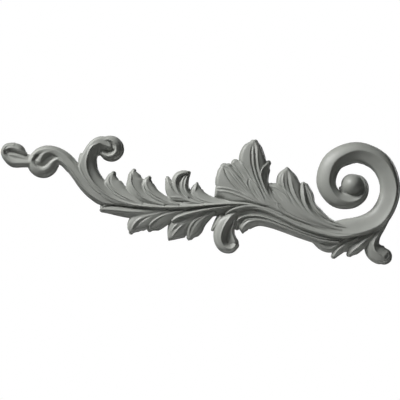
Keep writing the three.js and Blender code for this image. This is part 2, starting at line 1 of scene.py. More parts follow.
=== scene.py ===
"""Scroll onlay: one moulded piece with soft ridges and fine veins, its grey primer, and a plain stage.

The onlay is drawn on a sheet 400 units wide with y downwards, as in the front view. A ridge is a short
list of stations [x, y, left, right, height]: where its crest is, how far it reaches to the left and to
the right of the way it runs, and how high the crest stands off the flat back.
"""
import math

import bpy
import numpy as np
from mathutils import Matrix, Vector


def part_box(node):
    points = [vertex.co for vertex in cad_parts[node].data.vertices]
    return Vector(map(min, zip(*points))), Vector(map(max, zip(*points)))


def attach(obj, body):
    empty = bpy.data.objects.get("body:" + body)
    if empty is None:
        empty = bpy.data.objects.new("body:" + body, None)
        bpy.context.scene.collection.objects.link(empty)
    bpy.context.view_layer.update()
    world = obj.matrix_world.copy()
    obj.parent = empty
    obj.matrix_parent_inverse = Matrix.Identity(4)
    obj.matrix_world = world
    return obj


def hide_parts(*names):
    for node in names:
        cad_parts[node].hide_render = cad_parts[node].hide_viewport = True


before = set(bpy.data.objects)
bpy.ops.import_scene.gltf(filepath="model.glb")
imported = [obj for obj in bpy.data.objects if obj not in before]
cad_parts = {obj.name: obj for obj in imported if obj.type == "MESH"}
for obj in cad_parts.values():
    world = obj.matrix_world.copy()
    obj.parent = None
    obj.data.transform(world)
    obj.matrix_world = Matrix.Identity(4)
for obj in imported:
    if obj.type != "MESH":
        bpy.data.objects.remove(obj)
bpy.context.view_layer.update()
NODE = "scroll_onlay"

# Sizes of the onlay, in metres
MM = 0.001
LENGTH = 356 * MM
RELIEF = 14 * MM
EDGE_THICKNESS = 3 * MM
EYE_HEIGHT = 17 * MM
EYE_BASE = 4 * MM

# Fineness of the carved surface
GRID_STEP = 0.45 * MM
CREASE_FILLET = 0.6 * MM
SOFTENING = 0.25 * MM
EDGE_ROUNDING = 1.1 * MM
LOWER_EDGE_ROUNDING = 1.7 * MM
LOWER_EDGE_REACH = 1.1 * MM
BOX_MARGIN = 0.03 * MM

# The drawing: its units are shares of the length, and its heights are for a relief of 14
DRAWN_LENGTH = 399
UNIT = LENGTH / DRAWN_LENGTH
DRAWN_RELIEF = 14
RISE = RELIEF / DRAWN_RELIEF
ORIGIN = (200, 208)
SHEET = (-4, 404, 130, 270)

# How a ridge falls from its crest to its edge: the share of its height left at the edge before it is
# rolled over, how the fall is bent, and how sharp the rolled edge is
LEAF = (0.45, 1, 3)
PLATE = (0.72, 1, 5)
FLAT = (0.92, 1, 9)
TILT = (0.62, 1, 6)
ROUND = (0.6, 1, 3)
FINE = (0, 1, 3)
COVE = (0.66, 2.2, 5)
SWELL = (0.75, 1, 2.2)
BULGE = (0.6, 1, 2.2)
SHED = (0.2, 0.8, 4)

# How finely a ridge is followed, the height of bare grid points, and the reach of windows and blurs
SMALLEST_REACH = 0.3
SAMPLES_PER_SPAN = 6
LEAST_SAMPLES = 24
OUTSIDE = -1.0
WEIGHT_FLOOR = 1e-9
MARGIN_CELLS = 3
BLUR_REACH = 3


def along(values, t):
    """Smooth curve through a list of values, at t from 0 at the first to 1 at the last."""
    v = np.asarray(values, float)
    last = len(v) - 1
    place = np.clip(t, 0, 1) * last
    i = np.minimum(place.astype(int), last - 1)
    f = place - i
    p1 = v[i]
    p2 = v[i + 1]
    p0 = np.where(i > 0, v[np.maximum(i - 1, 0)], 2 * p1 - p2)
    p3 = np.where(i < last - 1, v[np.minimum(i + 2, last)], 2 * p2 - p1)
    linear = (p2 - p0) * f
    square = (2 * p0 - 5 * p1 + 4 * p2 - p3) * f * f
    cube = (3 * p1 - 3 * p2 + p3 - p0) * f ** 3
    return 0.5 * (2 * p1 + linear + square + cube)


def fall_share(fall, u):
    """Height share of a fall at distance u from the crest, 0 at the crest and 1 at the edge."""
    floor, bend, roll = fall
    u = np.clip(u, 0, 1)
    slope = floor + (1 - floor) * (1 - u) ** bend
    return slope * np.sqrt(1 - u ** roll)


def ridge(stations, left=LEAF, right=LEAF, open_start=True):
    """Ridge through its stations, its first end rounded, or cut straight where open_start is False."""
    return {"kind": "ridge", "stations": np.array(stations, float), "falls": (left, right),
            "open_start": open_start}


def dome(centre, radius, height):
    return {"kind": "dome", "centre": centre, "radius": radius, "height": height}


def vein(stations):
    """Fine line on the carving: stations [x, y, half width, rise], a rise below 0 being a groove."""
    return {"kind": "vein", "stations": np.array(stations, float)}


def nearest_on(points, t, x, y):
    """Distance from x, y to a line through points, t of the nearest place, and whether it is on the left."""
    best = np.full(x.shape, np.inf)
    where = np.zeros(x.shape)
    left = np.zeros(x.shape, bool)
    for k in range(len(points) - 1):
        a = points[k]
        d = points[k + 1] - a
        f = np.clip(((x - a[0]) * d[0] + (y - a[1]) * d[1]) / (d @ d), 0, 1)
        dx = x - a[0] - f * d[0]
        dy = y - a[1] - f * d[1]
        distance = np.hypot(dx, dy)
        near = distance < best
        best = np.where(near, distance, best)
        where = np.where(near, t[k] + f * (t[k + 1] - t[k]), where)
        left = np.where(near, dx * d[1] - dy * d[0] >= 0, left)
    return best, where, left


def blurred(values, spread):
    """Values on the grid, blurred over about a spread given in metres."""
    cells = spread / GRID_STEP
    reach = math.ceil(BLUR_REACH * cells)
    offsets = range(-reach, reach + 1)
    kernel = np.array([math.exp(-0.5 * (offset / cells) ** 2) for offset in offsets])
    kernel /= kernel.sum()
    for axis in (0, 1):
        values = sum(k * np.roll(values, offset, axis) for k, offset in zip(kernel, offsets))
    return values


class Carving:
    """Heights in metres on a grid of the drawing, and how far inside the outline each point is."""

    def __init__(self):
        step = GRID_STEP / UNIT
        x0, x1, y0, y1 = SHEET
        self.xs = np.arange(x0, x1, step)
        self.ys = np.arange(y0, y1, step)
        self.x, self.y = np.meshgrid(self.xs, self.ys)
        self.height = np.full(self.x.shape, OUTSIDE)
        self.inside = np.full(self.x.shape, -float(DRAWN_LENGTH))
        self.step = step

    def window(self, points, reach):
        """Slices of the grid around some points."""
        margin = reach + MARGIN_CELLS * self.step
        low = points.min(0) - margin
        high = points.max(0) + margin
        columns = slice(*np.searchsorted(self.xs, [low[0], high[0]]))
        rows = slice(*np.searchsorted(self.ys, [low[1], high[1]]))
        return rows, columns

    def join(self, part, height, inside):
        """Keeps the higher of two surfaces, with a small fillet where they meet."""
        old = self.height[part]
        height = np.where(inside > 0, height, OUTSIDE)
        both = (old >= 0) & (height >= 0)
        closeness = np.maximum(CREASE_FILLET - np.abs(old - height), 0) / CREASE_FILLET
        fillet = np.where(both, closeness * closeness * CREASE_FILLET / 4, 0)
        self.height[part] = np.maximum(old, height) + fillet
        self.inside[part] = np.maximum(self.inside[part], inside)

    def add_ridge(self, piece):
        s = piece["stations"]
        t = np.linspace(0, 1, max(LEAST_SAMPLES, SAMPLES_PER_SPAN * len(s)) + 1)
        points = np.stack([along(s[:, 0], t), along(s[:, 1], t)], 1)
        reach = [np.maximum(along(s[:, 2 + k], t), SMALLEST_REACH) for k in (0, 1)]
        crest = along(s[:, 4], t) * RISE
        part = self.window(points, max(reach[0].max(), reach[1].max()))
        x = self.x[part]
        y = self.y[part]
        distance, where, left = nearest_on(points, t, x, y)
        side = np.where(left, np.interp(where, t, reach[0]), np.interp(where, t, reach[1]))
        top = np.interp(where, t, crest)
        u = distance / side
        share = np.where(left, fall_share(piece["falls"][0], u), fall_share(piece["falls"][1], u))
        edge = np.minimum(top, EDGE_THICKNESS)
        inside = side - distance
        if not piece["open_start"]:
            way = points[1] - points[0]
            ahead = ((x - points[0][0]) * way[0] + (y - points[0][1]) * way[1]) / np.hypot(*way)
            inside = np.minimum(inside, ahead)
        self.join(part, edge + (top - edge) * share, inside)

    def add_dome(self, piece):
        centre = np.array(piece["centre"], float)
        radius = piece["radius"]
        part = self.window(centre[None], radius)
        u = np.hypot(self.x[part] - centre[0], self.y[part] - centre[1]) / radius
        rise = np.sqrt(np.maximum(1 - u * u, 0))
        self.join(part, EYE_BASE + (piece["height"] - EYE_BASE) * rise, (1 - u) * radius)

    def add_vein(self, piece):
        s = piece["stations"]
        t = np.linspace(0, 1, SAMPLES_PER_SPAN * len(s) + 1)
        points = np.stack([along(s[:, 0], t), along(s[:, 1], t)], 1)
        width = np.maximum(along(s[:, 2], t), SMALLEST_REACH)
        part = self.window(points, width.max())
        distance, where, _ = nearest_on(points, t, self.x[part], self.y[part])
        u = np.minimum(distance / np.interp(where, t, width), 1)
        rise = np.interp(where, t, along(s[:, 3], t)) * MM
        self.height[part] += np.where(self.height[part] >= 0, rise * (1 - u * u) ** 2, 0)

    def add(self, pieces):
        makers = {"ridge": self.add_ridge, "dome": self.add_dome, "vein": self.add_vein}
        for piece in pieces:
            makers[piece["kind"]](piece)

    def close_gaps(self):
        """Fills single missing points, where ridges that cross leave a pinhole between them."""
        ways = [(1, 0), (-1, 0), (1, 1), (-1, 1)]
        around = [np.roll(self.inside, offset, axis) for offset, axis in ways]
        levels = [np.roll(self.height, offset, axis) for offset, axis in ways]
        pinhole = (self.inside <= 0) & (np.min(around, 0) > 0)
        self.inside = np.where(pinhole, np.min(around, 0), self.inside)
        self.height = np.where(pinhole, np.mean(levels, 0), self.height)

    def round_edges(self):
        """Rolls the carving over along its whole outline, further on the lower and right sides."""
        cover = np.clip(self.inside / self.step + 0.5, 0, 1)
        cells = round(LOWER_EDGE_REACH / GRID_STEP)
        lower = blurred(np.roll(cover, (-cells, -cells), (0, 1)), LOWER_EDGE_ROUNDING)
        depth = np.clip(2 * np.minimum(blurred(cover, EDGE_ROUNDING), lower) - 1, 0, 1)
        share = np.sqrt(1 - (1 - depth) ** 2)
        above = np.maximum(self.height - EDGE_THICKNESS, 0)
        self.height = np.where(self.height > EDGE_THICKNESS, EDGE_THICKNESS + above * share, self.height)

    def soften(self):
        """Blurs the heights a little inside the outline, as primer does."""
        inner = self.height >= 0
        total = blurred(np.where(inner, self.height, 0), SOFTENING)
        weight = blurred(inner.astype(float), SOFTENING)
        self.height = np.where(inner, total / np.maximum(weight, WEIGHT_FLOOR), self.height)


def tail_curl():
    """Small curl at the left end, its bulb rolled over a shallow hollow."""
    return [
        ridge([
            [8, 152, 4, 4, 8.1], [15, 155, 6, 7, 7.9], [24, 158, 5, 7, 7.6], [33, 160, 5, 6, 6.6],
        ], left=ROUND, right=ROUND),
        ridge([
            [33, 162.4, 4.9, 6, 8.2], [22.5, 163, 4.3, 8, 8.8], [13.5, 162.6, 4.6, 8.4, 9],
            [6.7, 158, 3.4, 5, 9], [3.8, 151.6, 3, 3, 9], [6.8, 146.4, 3, 3.2, 9.3],
            [14, 145.4, 3.1, 3.6, 9.5],
        ], left=ROUND, right=ROUND),
        ridge([
            [6.4, 149.2, 2, 2, 9.2], [10, 147.5, 3.6, 3.6, 9.7], [14.6, 147.8, 5, 5, 9.9],
            [19.6, 149.8, 5, 5, 9.6], [24.4, 153.6, 2.8, 3.2, 8.4],
        ], left=SWELL, right=SWELL),
    ]


def second_curl():
    """Second curl, its rim running on into the lower side of the stem."""
    return [
        ridge([
            [38, 161, 6, 7, 8.2], [46, 160, 8, 8, 7.4], [56, 157, 6, 5, 7.8], [66, 163, 5, 3, 8.4],
        ], left=ROUND, right=ROUND),
        ridge([
            [34.5, 153.6, 2.4, 3, 9.2], [40, 150.4, 3.4, 4, 10.2], [48.5, 148.9, 3.7, 5, 10.8],
            [58, 150.9, 3.7, 6, 11], [67, 156.5, 3.9, 8, 11], [74, 164.3, 4.2, 9, 11],
            [81, 174.3, 4.2, 9, 11], [89, 184.8, 4.2, 8, 10.9], [99, 194.2, 4, 6, 10.8],
            [112, 200.3, 2, 2, 10.2],
        ], right=FLAT),
        ridge([
            [35, 154.8, 2.6, 3.6, 9], [32, 160, 3.4, 4.6, 9.4], [34.2, 165.8, 4, 6.4, 9.4],
            [39, 169.4, 4.2, 7.5, 9.4], [44.4, 169.8, 4.2, 8.2, 9.4], [49, 167, 4, 8.2, 9.4],
            [52.6, 162.8, 3.4, 7.2, 9.6], [56.4, 159.5, 2.6, 6.4, 10], [60.4, 159.4, 2.4, 5.6, 10.4],
            [64.6, 162.8, 2.6, 4.4, 10.7], [69.5, 168.8, 2.6, 3.8, 10.8],
        ], left=ROUND, right=BULGE),
        ridge([
            [40.4, 161, 4.6, 4.4, 8.8], [42.2, 157.2, 5.6, 5, 9.9], [45.6, 153, 5.2, 5, 10.7],
            [54, 150.6, 3, 3, 11],
        ], left=SWELL, right=SWELL),
    ]


def stem():
    """Stem between the second curl and the rib."""
    return [
        ridge([
            [61, 160, 3, 4.4, 10.3], [68.5, 167.2, 9, 3.7, 10.9], [75.5, 176.3, 10, 3.5, 11.2],
            [83, 186.8, 10, 3.6, 11.2], [92, 195.4, 9, 3.9, 11], [103, 202, 6, 3.8, 10.6],
            [120, 205, 1.4, 1.4, 9],
        ], left=FLAT, right=BULGE),
        ridge([
            [81, 154.2, 1.6, 1.4, 7], [80.2, 161, 2.2, 2, 9.4], [82, 170, 2.6, 2, 11],
            [86, 178, 2.8, 2.2, 11.4], [92, 186.5, 2.8, 2.2, 11.4], [101, 194, 2.6, 2.2, 11.2],
            [113, 200, 1, 1, 10],
        ], left=FINE, right=FINE),
    ]


def hook():
    """Open hook above the stem: a broad band with a hollow inside, and a rolled end."""
    return [
        ridge([
            [97, 150, 6, 6, 6.4], [105, 146.5, 6, 6, 9], [111, 147, 6, 6, 9.2],
        ], left=ROUND, right=ROUND),
        ridge([
            [106.4, 146, 4.2, 10.4, 11], [99.5, 143.4, 7.4, 7.2, 11.8], [92.8, 146.8, 8.4, 5.6, 12.2],
            [88.2, 155, 9.4, 6, 12.2], [86.6, 164, 10.6, 8, 12.2], [88, 172.5, 10.6, 7.4, 12.2],
            [92.4, 181, 10.6, 6.2, 12], [99.3, 188.5, 9.8, 5, 11.8], [108, 195.5, 9, 5, 11.5],
            [118, 200.5, 7, 4, 11.2], [132, 204.3, 4, 3, 11],
        ], left=COVE, right=FLAT),
        ridge([
            [103, 140.4, 3, 3, 11.2], [108.6, 139.6, 4.2, 3, 11.8], [113.6, 141.7, 5.7, 4, 12],
            [116.8, 146, 6.5, 4.4, 11.8], [116.8, 151, 6.9, 4.6, 11.3], [113, 155.2, 6.3, 4.6, 10.7],
            [107.6, 155.8, 5, 4, 10.1], [102.8, 153, 3.6, 3, 9],
        ], left=BULGE),
    ]


def rib():
    """Rib along the middle, and the body under the leaves beside it."""
    return [
        ridge([
            [103, 207, 3, 3, 6], [127, 205.5, 17, 8, 7.5], [145, 207, 19, 14, 8],
            [165, 208.5, 12, 12, 8.2], [190, 207.5, 12, 16, 8.2], [213, 206, 9, 10.5, 8.4],
            [240, 205, 10, 9, 9], [262, 207, 10, 6, 9],
        ], left=ROUND, right=ROUND),
        ridge([
            [118, 200.5, 3, 3, 11], [132, 204.3, 4, 3, 11.4], [147, 206.3, 4.5, 3, 11.8],
            [165, 207.3, 4.5, 3, 11.9], [190, 206.5, 4.5, 3, 11.9], [215, 204.5, 4.5, 3, 12],
            [240, 203.7, 4, 3, 12.2], [262, 207.4, 3, 3, 12.3], [282, 215, 2, 2, 12.3],
        ]),
        ridge([
            [172, 221, 1.5, 1.6, 9.4], [177, 217.6, 3.4, 3.6, 11], [186, 214.4, 4, 3.6, 11.9],
            [198, 211.4, 4, 3.4, 12.2], [215, 208, 3, 3.4, 12.2], [238, 205, 1.5, 2, 12],
        ], right=SHED),
    ]


def upper_flutes():
    """Three pointed flutes above the rib."""
    return [
        ridge([
            [113.6, 173.6, 2.6, 2.7, 6.8], [112.4, 176.6, 5.6, 5, 7.6], [112, 181.8, 8, 7.2, 8.6],
            [114.4, 187, 9.4, 7.7, 9.3], [119.5, 192.8, 9, 6.5, 9.8], [128.5, 198, 6, 5, 10.3],
            [142, 204, 2, 2, 10.6],
        ], left=TILT, right=FLAT),
        ridge([
            [133.8, 170.8, 2.5, 2.3, 6.6], [133.2, 174, 7.6, 4.4, 7.6], [132.4, 179.5, 12, 5.2, 8.6],
            [134, 186.8, 10.8, 8, 9.4], [139.4, 194.2, 8, 7, 10], [149.5, 200, 5, 5, 10.5],
            [164, 205, 2, 2, 11.4],
        ], left=TILT, right=PLATE),
        ridge([
            [149.2, 177.8, 2.3, 2.3, 6.6], [148.2, 180, 4, 4.2, 7.4], [147.6, 184.2, 6.2, 5, 8.4],
            [149.4, 190, 7.2, 5.6, 9.2], [155, 195.4, 6.2, 5.4, 9.8], [163.5, 200, 5, 5, 10.3],
            [178, 205, 2, 2, 11.4],
        ], left=TILT, right=FLAT),
    ]


def middle_leaf():
    """Small leaf above the rib: a narrow lobe, a curled lobe with a trough, a short lobe."""
    return [
        ridge([
            [167, 179.2, 3.2, 2, 6.6], [169, 184, 4.4, 4.3, 8.2], [172, 190, 5, 6.9, 9.2],
            [178, 196, 4, 9, 9.8], [188, 200.5, 4, 6, 10.3], [202, 203.6, 2, 2, 10.6],
        ], left=PLATE, right=PLATE),
        ridge([
            [185.4, 175.6, 2.2, 2.6, 7.4], [182.6, 181, 4, 4, 8.7], [182.4, 188, 5, 5, 9.4],
            [188, 197, 5, 6, 9.7],
        ], left=ROUND, right=ROUND),
        ridge([
            [189.2, 172.6, 1.6, 1.7, 7.8], [183.4, 172.9, 3.4, 2.8, 8.8], [178, 175.6, 4.2, 3.6, 9.6],
            [175.6, 180.3, 4.4, 3.9, 10], [176.2, 187, 4.6, 3.8, 10], [180, 194, 4, 4, 10],
            [189, 200.5, 2, 2, 10],
        ], right=SWELL),
        ridge([
            [189, 174.2, 1.4, 1.5, 7], [186.3, 180, 2.6, 4, 8.6], [185.5, 187, 3.4, 4.4, 9.5],
            [188.3, 194, 4.4, 4, 10], [195, 199.5, 5, 4, 10.2], [208, 203.6, 2, 2, 10.6],
        ]),
        ridge([
            [197, 183.4, 1.4, 1.5, 6.2], [196.4, 186.8, 4.4, 4.2, 7.6], [196.4, 191, 6.6, 6, 8.6],
            [199.3, 195.6, 6.4, 6, 9.4], [205, 199.3, 5.8, 5, 10], [213.5, 202.2, 5, 4, 10.4],
            [227, 204, 3, 2, 11],
        ], left=TILT, right=FLAT),
    ]


def lower_lobes():
    """Lobes under the rib."""
    return [
        ridge([
            [102.6, 209.4, 2.6, 3.2, 7.6], [110, 209.2, 4, 4.8, 8.8], [120, 210.4, 4, 5.9, 9.2],
            [132, 211.6, 4, 6.8, 9.4], [146, 211.6, 3.5, 6.4, 9.6], [164, 210, 1.5, 3, 10],
        ], left=FLAT, right=SWELL),
        ridge([
            [102, 207.4, 1.5, 1.8, 7.8], [105, 205.2, 2, 2, 9.2], [110, 203.6, 2, 2, 9.8],
            [118, 204, 1.5, 1, 10],
        ]),
        ridge([
            [131, 232.4, 2.3, 2.4, 5.6], [132.4, 229, 5.8, 6.6, 6.6], [135.6, 224, 8.4, 10.2, 7.8],
            [142, 219, 9.6, 11.4, 8.8], [152, 215, 6, 9.6, 9.4], [169, 210.4, 2, 3, 10],
        ], left=PLATE, right=TILT),
        ridge([
            [149.6, 229.4, 2.6, 2.8, 5.6], [152.8, 225.4, 5.6, 7.6, 7], [158.8, 220.2, 7, 9, 8.4],
            [168, 214.4, 5, 8.6, 9.4], [185, 209.6, 2, 3, 10],
        ], left=PLATE, right=TILT),
        ridge([
            [176.4, 239.4, 8.2, 9, 5.2], [175.8, 235.8, 8.5, 10.2, 6], [177.6, 230, 10.6, 9.8, 7.2],
            [181.6, 223.6, 11, 9.4, 8.4], [188, 217.8, 7, 9, 9.3], [201, 211.6, 2, 3, 10],
        ], left=PLATE, right=PLATE, open_start=False),
        ridge([
            [190.4, 237.2, 4, 3, 5.2], [191.8, 233.4, 7, 7.2, 6.6], [194.6, 227.6, 8.8, 8.8, 8],
            [200.4, 220.4, 8, 7.2, 9.1], [213, 211.4, 4, 3.6, 10.3],
        ], left=PLATE, right=TILT),
    ]


def big_leaf():
    """Left half of the big leaf, up to its tallest lobe."""
    return [
        ridge([
            [228, 172, 7, 8, 6], [240, 184, 14, 14, 7.5], [252, 195, 18, 12, 10.4],
            [266, 203.6, 14, 7, 12], [280, 211, 14, 6, 12.2], [298, 219, 12, 6, 12.2],
            [325, 228, 8, 5, 11.6],
        ], left=FLAT, right=ROUND),
        ridge([
            [215, 189.6, 3.4, 7.4, 9.4], [226, 191, 4, 8.4, 10.6], [236, 193.6, 4, 8, 11.2],
            [247, 197.8, 3, 6, 11.8], [260, 204, 2, 2, 12],
        ], left=FLAT, right=PLATE, open_start=False),
        ridge([
            [224, 166.8, 4.1, 3.9, 8.4], [223.4, 173, 8, 7, 10], [226.4, 181, 12, 12.2, 10.9],
            [236, 190, 8, 14, 11.4], [249, 197, 4, 6, 11.8], [263, 204, 2, 2, 12],
        ], left=FLAT, right=FLAT),
        ridge([
            [228.2, 167.2, 4.2, 3.8, 8.8], [231.5, 174.5, 6.4, 4.4, 10], [237.5, 183, 6, 5, 10.9],
            [245.5, 191.2, 4.4, 4.4, 11.5], [255, 198.6, 3.5, 4, 12], [266, 205, 1.5, 1.5, 12.1],
        ], left=FLAT, right=FLAT),
        ridge([
            [235.2, 163, 4.2, 4.2, 9], [239.8, 168.4, 6, 6.8, 10.2], [246, 177.5, 5.6, 6, 11],
            [252.6, 187.5, 4.6, 5.4, 11.7], [260, 196.4, 4, 4.4, 12], [269, 204.6, 1.5, 1.5, 12.1],
        ], left=FLAT, right=FLAT),
        ridge([
            [252.8, 142.2, 3, 2.8, 8.8], [250.2, 149.5, 4.8, 8.6, 11], [249.6, 160.5, 6, 10.8, 12],
            [252.4, 172, 5, 7, 12.4], [258.5, 186, 4, 5, 12.7], [267, 198.6, 3, 3, 12.6],
            [280, 209.6, 2, 2, 12.3],
        ], left=FLAT, right=FLAT),
        ridge([
            [255.2, 141.8, 2.6, 2.2, 8.6], [257, 149.5, 5.6, 4, 10.6], [257.5, 160, 8.4, 4.4, 11.9],
            [259.5, 172, 7.7, 4, 12.6], [263.5, 184, 5, 3, 12.9], [270.6, 196, 4, 3, 12.8],
            [284, 209, 2, 2, 12.4],
        ], left=TILT, right=FLAT),
    ]


def big_leaf_right():
    """Right half of the big leaf, running down into the stem of the volute."""
    return [
        ridge([
            [268.4, 163, 2.6, 2.8, 9.2], [264.8, 166.6, 6.2, 4, 10.4], [262.4, 173.5, 6.8, 3.4, 11.4],
            [264, 183, 4.8, 3.4, 12], [268.8, 193, 4, 3, 12.3], [278, 205, 2, 2, 12.3],
        ], left=TILT),
        ridge([
            [271, 185.2, 2.6, 2.6, 9.4], [276, 188.4, 5.4, 6, 10.6], [282, 194.4, 4.5, 8, 11.5],
            [289.5, 203.4, 4, 8, 12.2], [300, 213, 3, 4, 12.5], [316, 222, 1.5, 1.5, 12.3],
        ], left=FLAT, right=FLAT),
        ridge([
            [287, 168.8, 2, 2.1, 8], [283.5, 177, 5, 6.4, 10], [284.3, 187, 5, 7.2, 11.1],
            [289.5, 198, 5, 6, 12], [300, 210.5, 4, 5, 12.5], [318, 222, 3, 3, 12.6],
            [340, 230, 1.5, 1.5, 12],
        ], left=FLAT, right=FLAT),
        ridge([
            [288, 169.4, 1.8, 1.8, 8], [290.7, 178, 6.2, 4, 10], [292.7, 188, 8.8, 4.4, 11.1],
            [297.5, 199, 7, 4.4, 11.9], [307, 211, 5, 4, 12.4], [323, 221, 3, 3, 12.2],
            [345, 227, 1.5, 1.5, 11.4],
        ], left=TILT, right=FLAT),
        ridge([
            [305, 186.4, 3.6, 3.6, 8.6], [308, 195, 4, 4, 9.8], [312, 205, 4, 4, 10.8],
            [319, 213, 4, 4, 11.6], [330, 221, 2, 2, 11.8],
        ], left=ROUND, right=ROUND),
        ridge([
            [302.8, 184.6, 3, 2.6, 9.2], [303.2, 194, 4.8, 4.4, 11.2], [305.7, 204, 4.8, 4.6, 12.2],
            [313, 213.8, 4.4, 4.4, 12.6], [328, 223.5, 2, 2, 12],
        ], right=FLAT),
        ridge([
            [306.4, 187.2, 2.8, 2.6, 9], [310.6, 195, 2.9, 4.6, 10], [313, 203.5, 2.2, 5, 10.8],
            [318.4, 211.7, 1.9, 5, 11.4], [325, 217, 1.9, 4, 11.6], [334.4, 222.4, 1.6, 2.4, 11.4],
            [343, 225.4, 1.2, 1.4, 10.6],
        ], left=SWELL),
    ]


def lower_stem():
    """Hook that hangs under the leaf, and the stem from it to the volute."""
    return [
        ridge([
            [236, 214, 4, 4, 8], [250, 212, 5, 4, 8.6], [264, 213.5, 5, 5, 9], [283, 221, 5, 5, 9.4],
            [303, 229.5, 5, 5, 9.6], [323, 236, 4, 4, 10],
        ], left=ROUND, right=ROUND),
        ridge([
            [243.4, 227, 4, 4, 6.4], [249, 220.4, 6.8, 5.6, 8], [260, 218, 6, 6.6, 9],
            [283, 224.6, 6, 6.6, 9.7], [303, 232.4, 6, 6, 10], [325, 238.6, 5, 5, 10.4],
        ], left=FLAT, right=ROUND),
        ridge([
            [226, 213.6, 1.6, 1.6, 9.4], [232, 209.8, 3, 4.4, 11.6], [241, 206.9, 3, 5.4, 12.3],
            [252, 206.2, 3, 5.6, 12.5], [264, 209.4, 3, 5, 12.6], [282, 217.4, 3, 3, 12.8],
            [300, 224, 2, 2, 12.8],
        ], left=SWELL, right=SHED),
        ridge([
            [238, 217, 5.6, 3, 7.6], [236.8, 223.4, 5.4, 3.6, 6.4], [236.6, 227.4, 3, 2.8, 5],
        ], left=ROUND, right=ROUND),
        ridge([
            [230, 222, 5, 5, 6.4], [229.5, 230, 5, 5.4, 6.2], [230, 236.5, 5.2, 5.4, 6.2],
            [231, 242.6, 7.6, 7, 6.6],
        ], left=ROUND, right=ROUND),
        ridge([
            [235.6, 217.4, 1.6, 3, 8.4], [233.4, 223.4, 2, 5, 8.8], [232, 230, 2.2, 6.2, 9],
            [232.8, 236, 2.6, 7, 9], [234.8, 241.6, 3.4, 7, 9],
        ], left=SWELL, right=FINE),
        ridge([
            [220.4, 217.6, 4.4, 4.2, 9.4], [215.8, 224.2, 3, 3, 8.4], [212.4, 229.8, 1.5, 1.7, 6.4],
        ]),
        ridge([
            [236, 212.6, 3, 2, 9.4], [230.4, 216.6, 6, 4.4, 11], [225.2, 224, 5.6, 9.4, 11.4],
            [221.4, 232, 5.6, 8, 11.2], [220.8, 240, 5.4, 7, 10.8], [224.4, 246.4, 4.6, 6.4, 10.4],
            [230.4, 248.4, 4.4, 5, 10], [235, 245.4, 3.6, 4, 9.4],
        ], left=COVE, right=PLATE),
        ridge([
            [242.5, 232.5, 1.2, 1.3, 6], [242.8, 229.6, 3.8, 5, 7.4], [243.4, 226.4, 5.2, 6.6, 8.2],
            [248.8, 221.6, 5, 7.4, 9.4], [259, 219.8, 4, 6.3, 9.6], [271, 222.4, 4, 5.7, 10],
            [285, 227.6, 4, 5.2, 10.4], [302, 234.2, 4, 4.9, 10.6], [320, 240, 4, 4.6, 10.8],
            [338, 242, 3, 4, 10.8],
        ], right=SHED),
        ridge([
            [237, 220.5, 1.6, 1.8, 9.5], [242, 217, 2.2, 2.2, 10.6], [251, 215.6, 2.2, 2.2, 11],
            [263, 217, 2.2, 2.2, 11.4], [281, 223.6, 2.2, 2.2, 11.8], [301, 231.6, 2.2, 2.2, 12],
            [321, 237.8, 2.2, 2.2, 12], [340, 240, 2, 2, 12],
        ], left=FINE, right=FINE),
    ]


def foot():
    """Curled foot and the three small lobes under the volute."""
    return [
        ridge([
            [300, 233, 3, 3, 9], [318, 241, 4, 4, 7], [330, 246, 5, 6, 6.4], [348, 246, 6, 6, 7],
            [364, 243, 6, 6, 7],
        ], left=ROUND, right=ROUND),
        ridge([
            [347, 237.4, 4, 4, 9.6], [338, 243.8, 5, 4, 8.8], [330, 247.8, 5, 3.8, 7.8],
            [322.4, 245.6, 5, 3.4, 7.4], [315.4, 241, 3.6, 2.2, 7.8],
        ]),
        ridge([
            [357, 238, 4, 4, 9.6], [346, 244, 5, 5.2, 8.8], [338.6, 250, 5, 6, 7.6],
            [333.6, 256.4, 2.6, 2.8, 6],
        ], left=SHED),
        ridge([
            [372, 234, 5, 5, 10.2], [361, 243, 6.2, 6.4, 9.4], [353.2, 249.8, 6, 7, 8],
            [349.4, 254.4, 2.8, 3.2, 6.4],
        ], left=SHED),
        ridge([
            [388, 219, 1.6, 6, 9], [382, 229, 2.4, 8, 10], [376.5, 236.5, 3.8, 8.4, 10.2],
            [373.2, 243.5, 6.6, 8.8, 9.8], [374.6, 250.3, 9.2, 9.8, 9.2], [379.2, 254.6, 9.4, 9.8, 9],
            [383.6, 256.4, 8.2, 8.4, 8.8],
        ], right=BULGE),
    ]


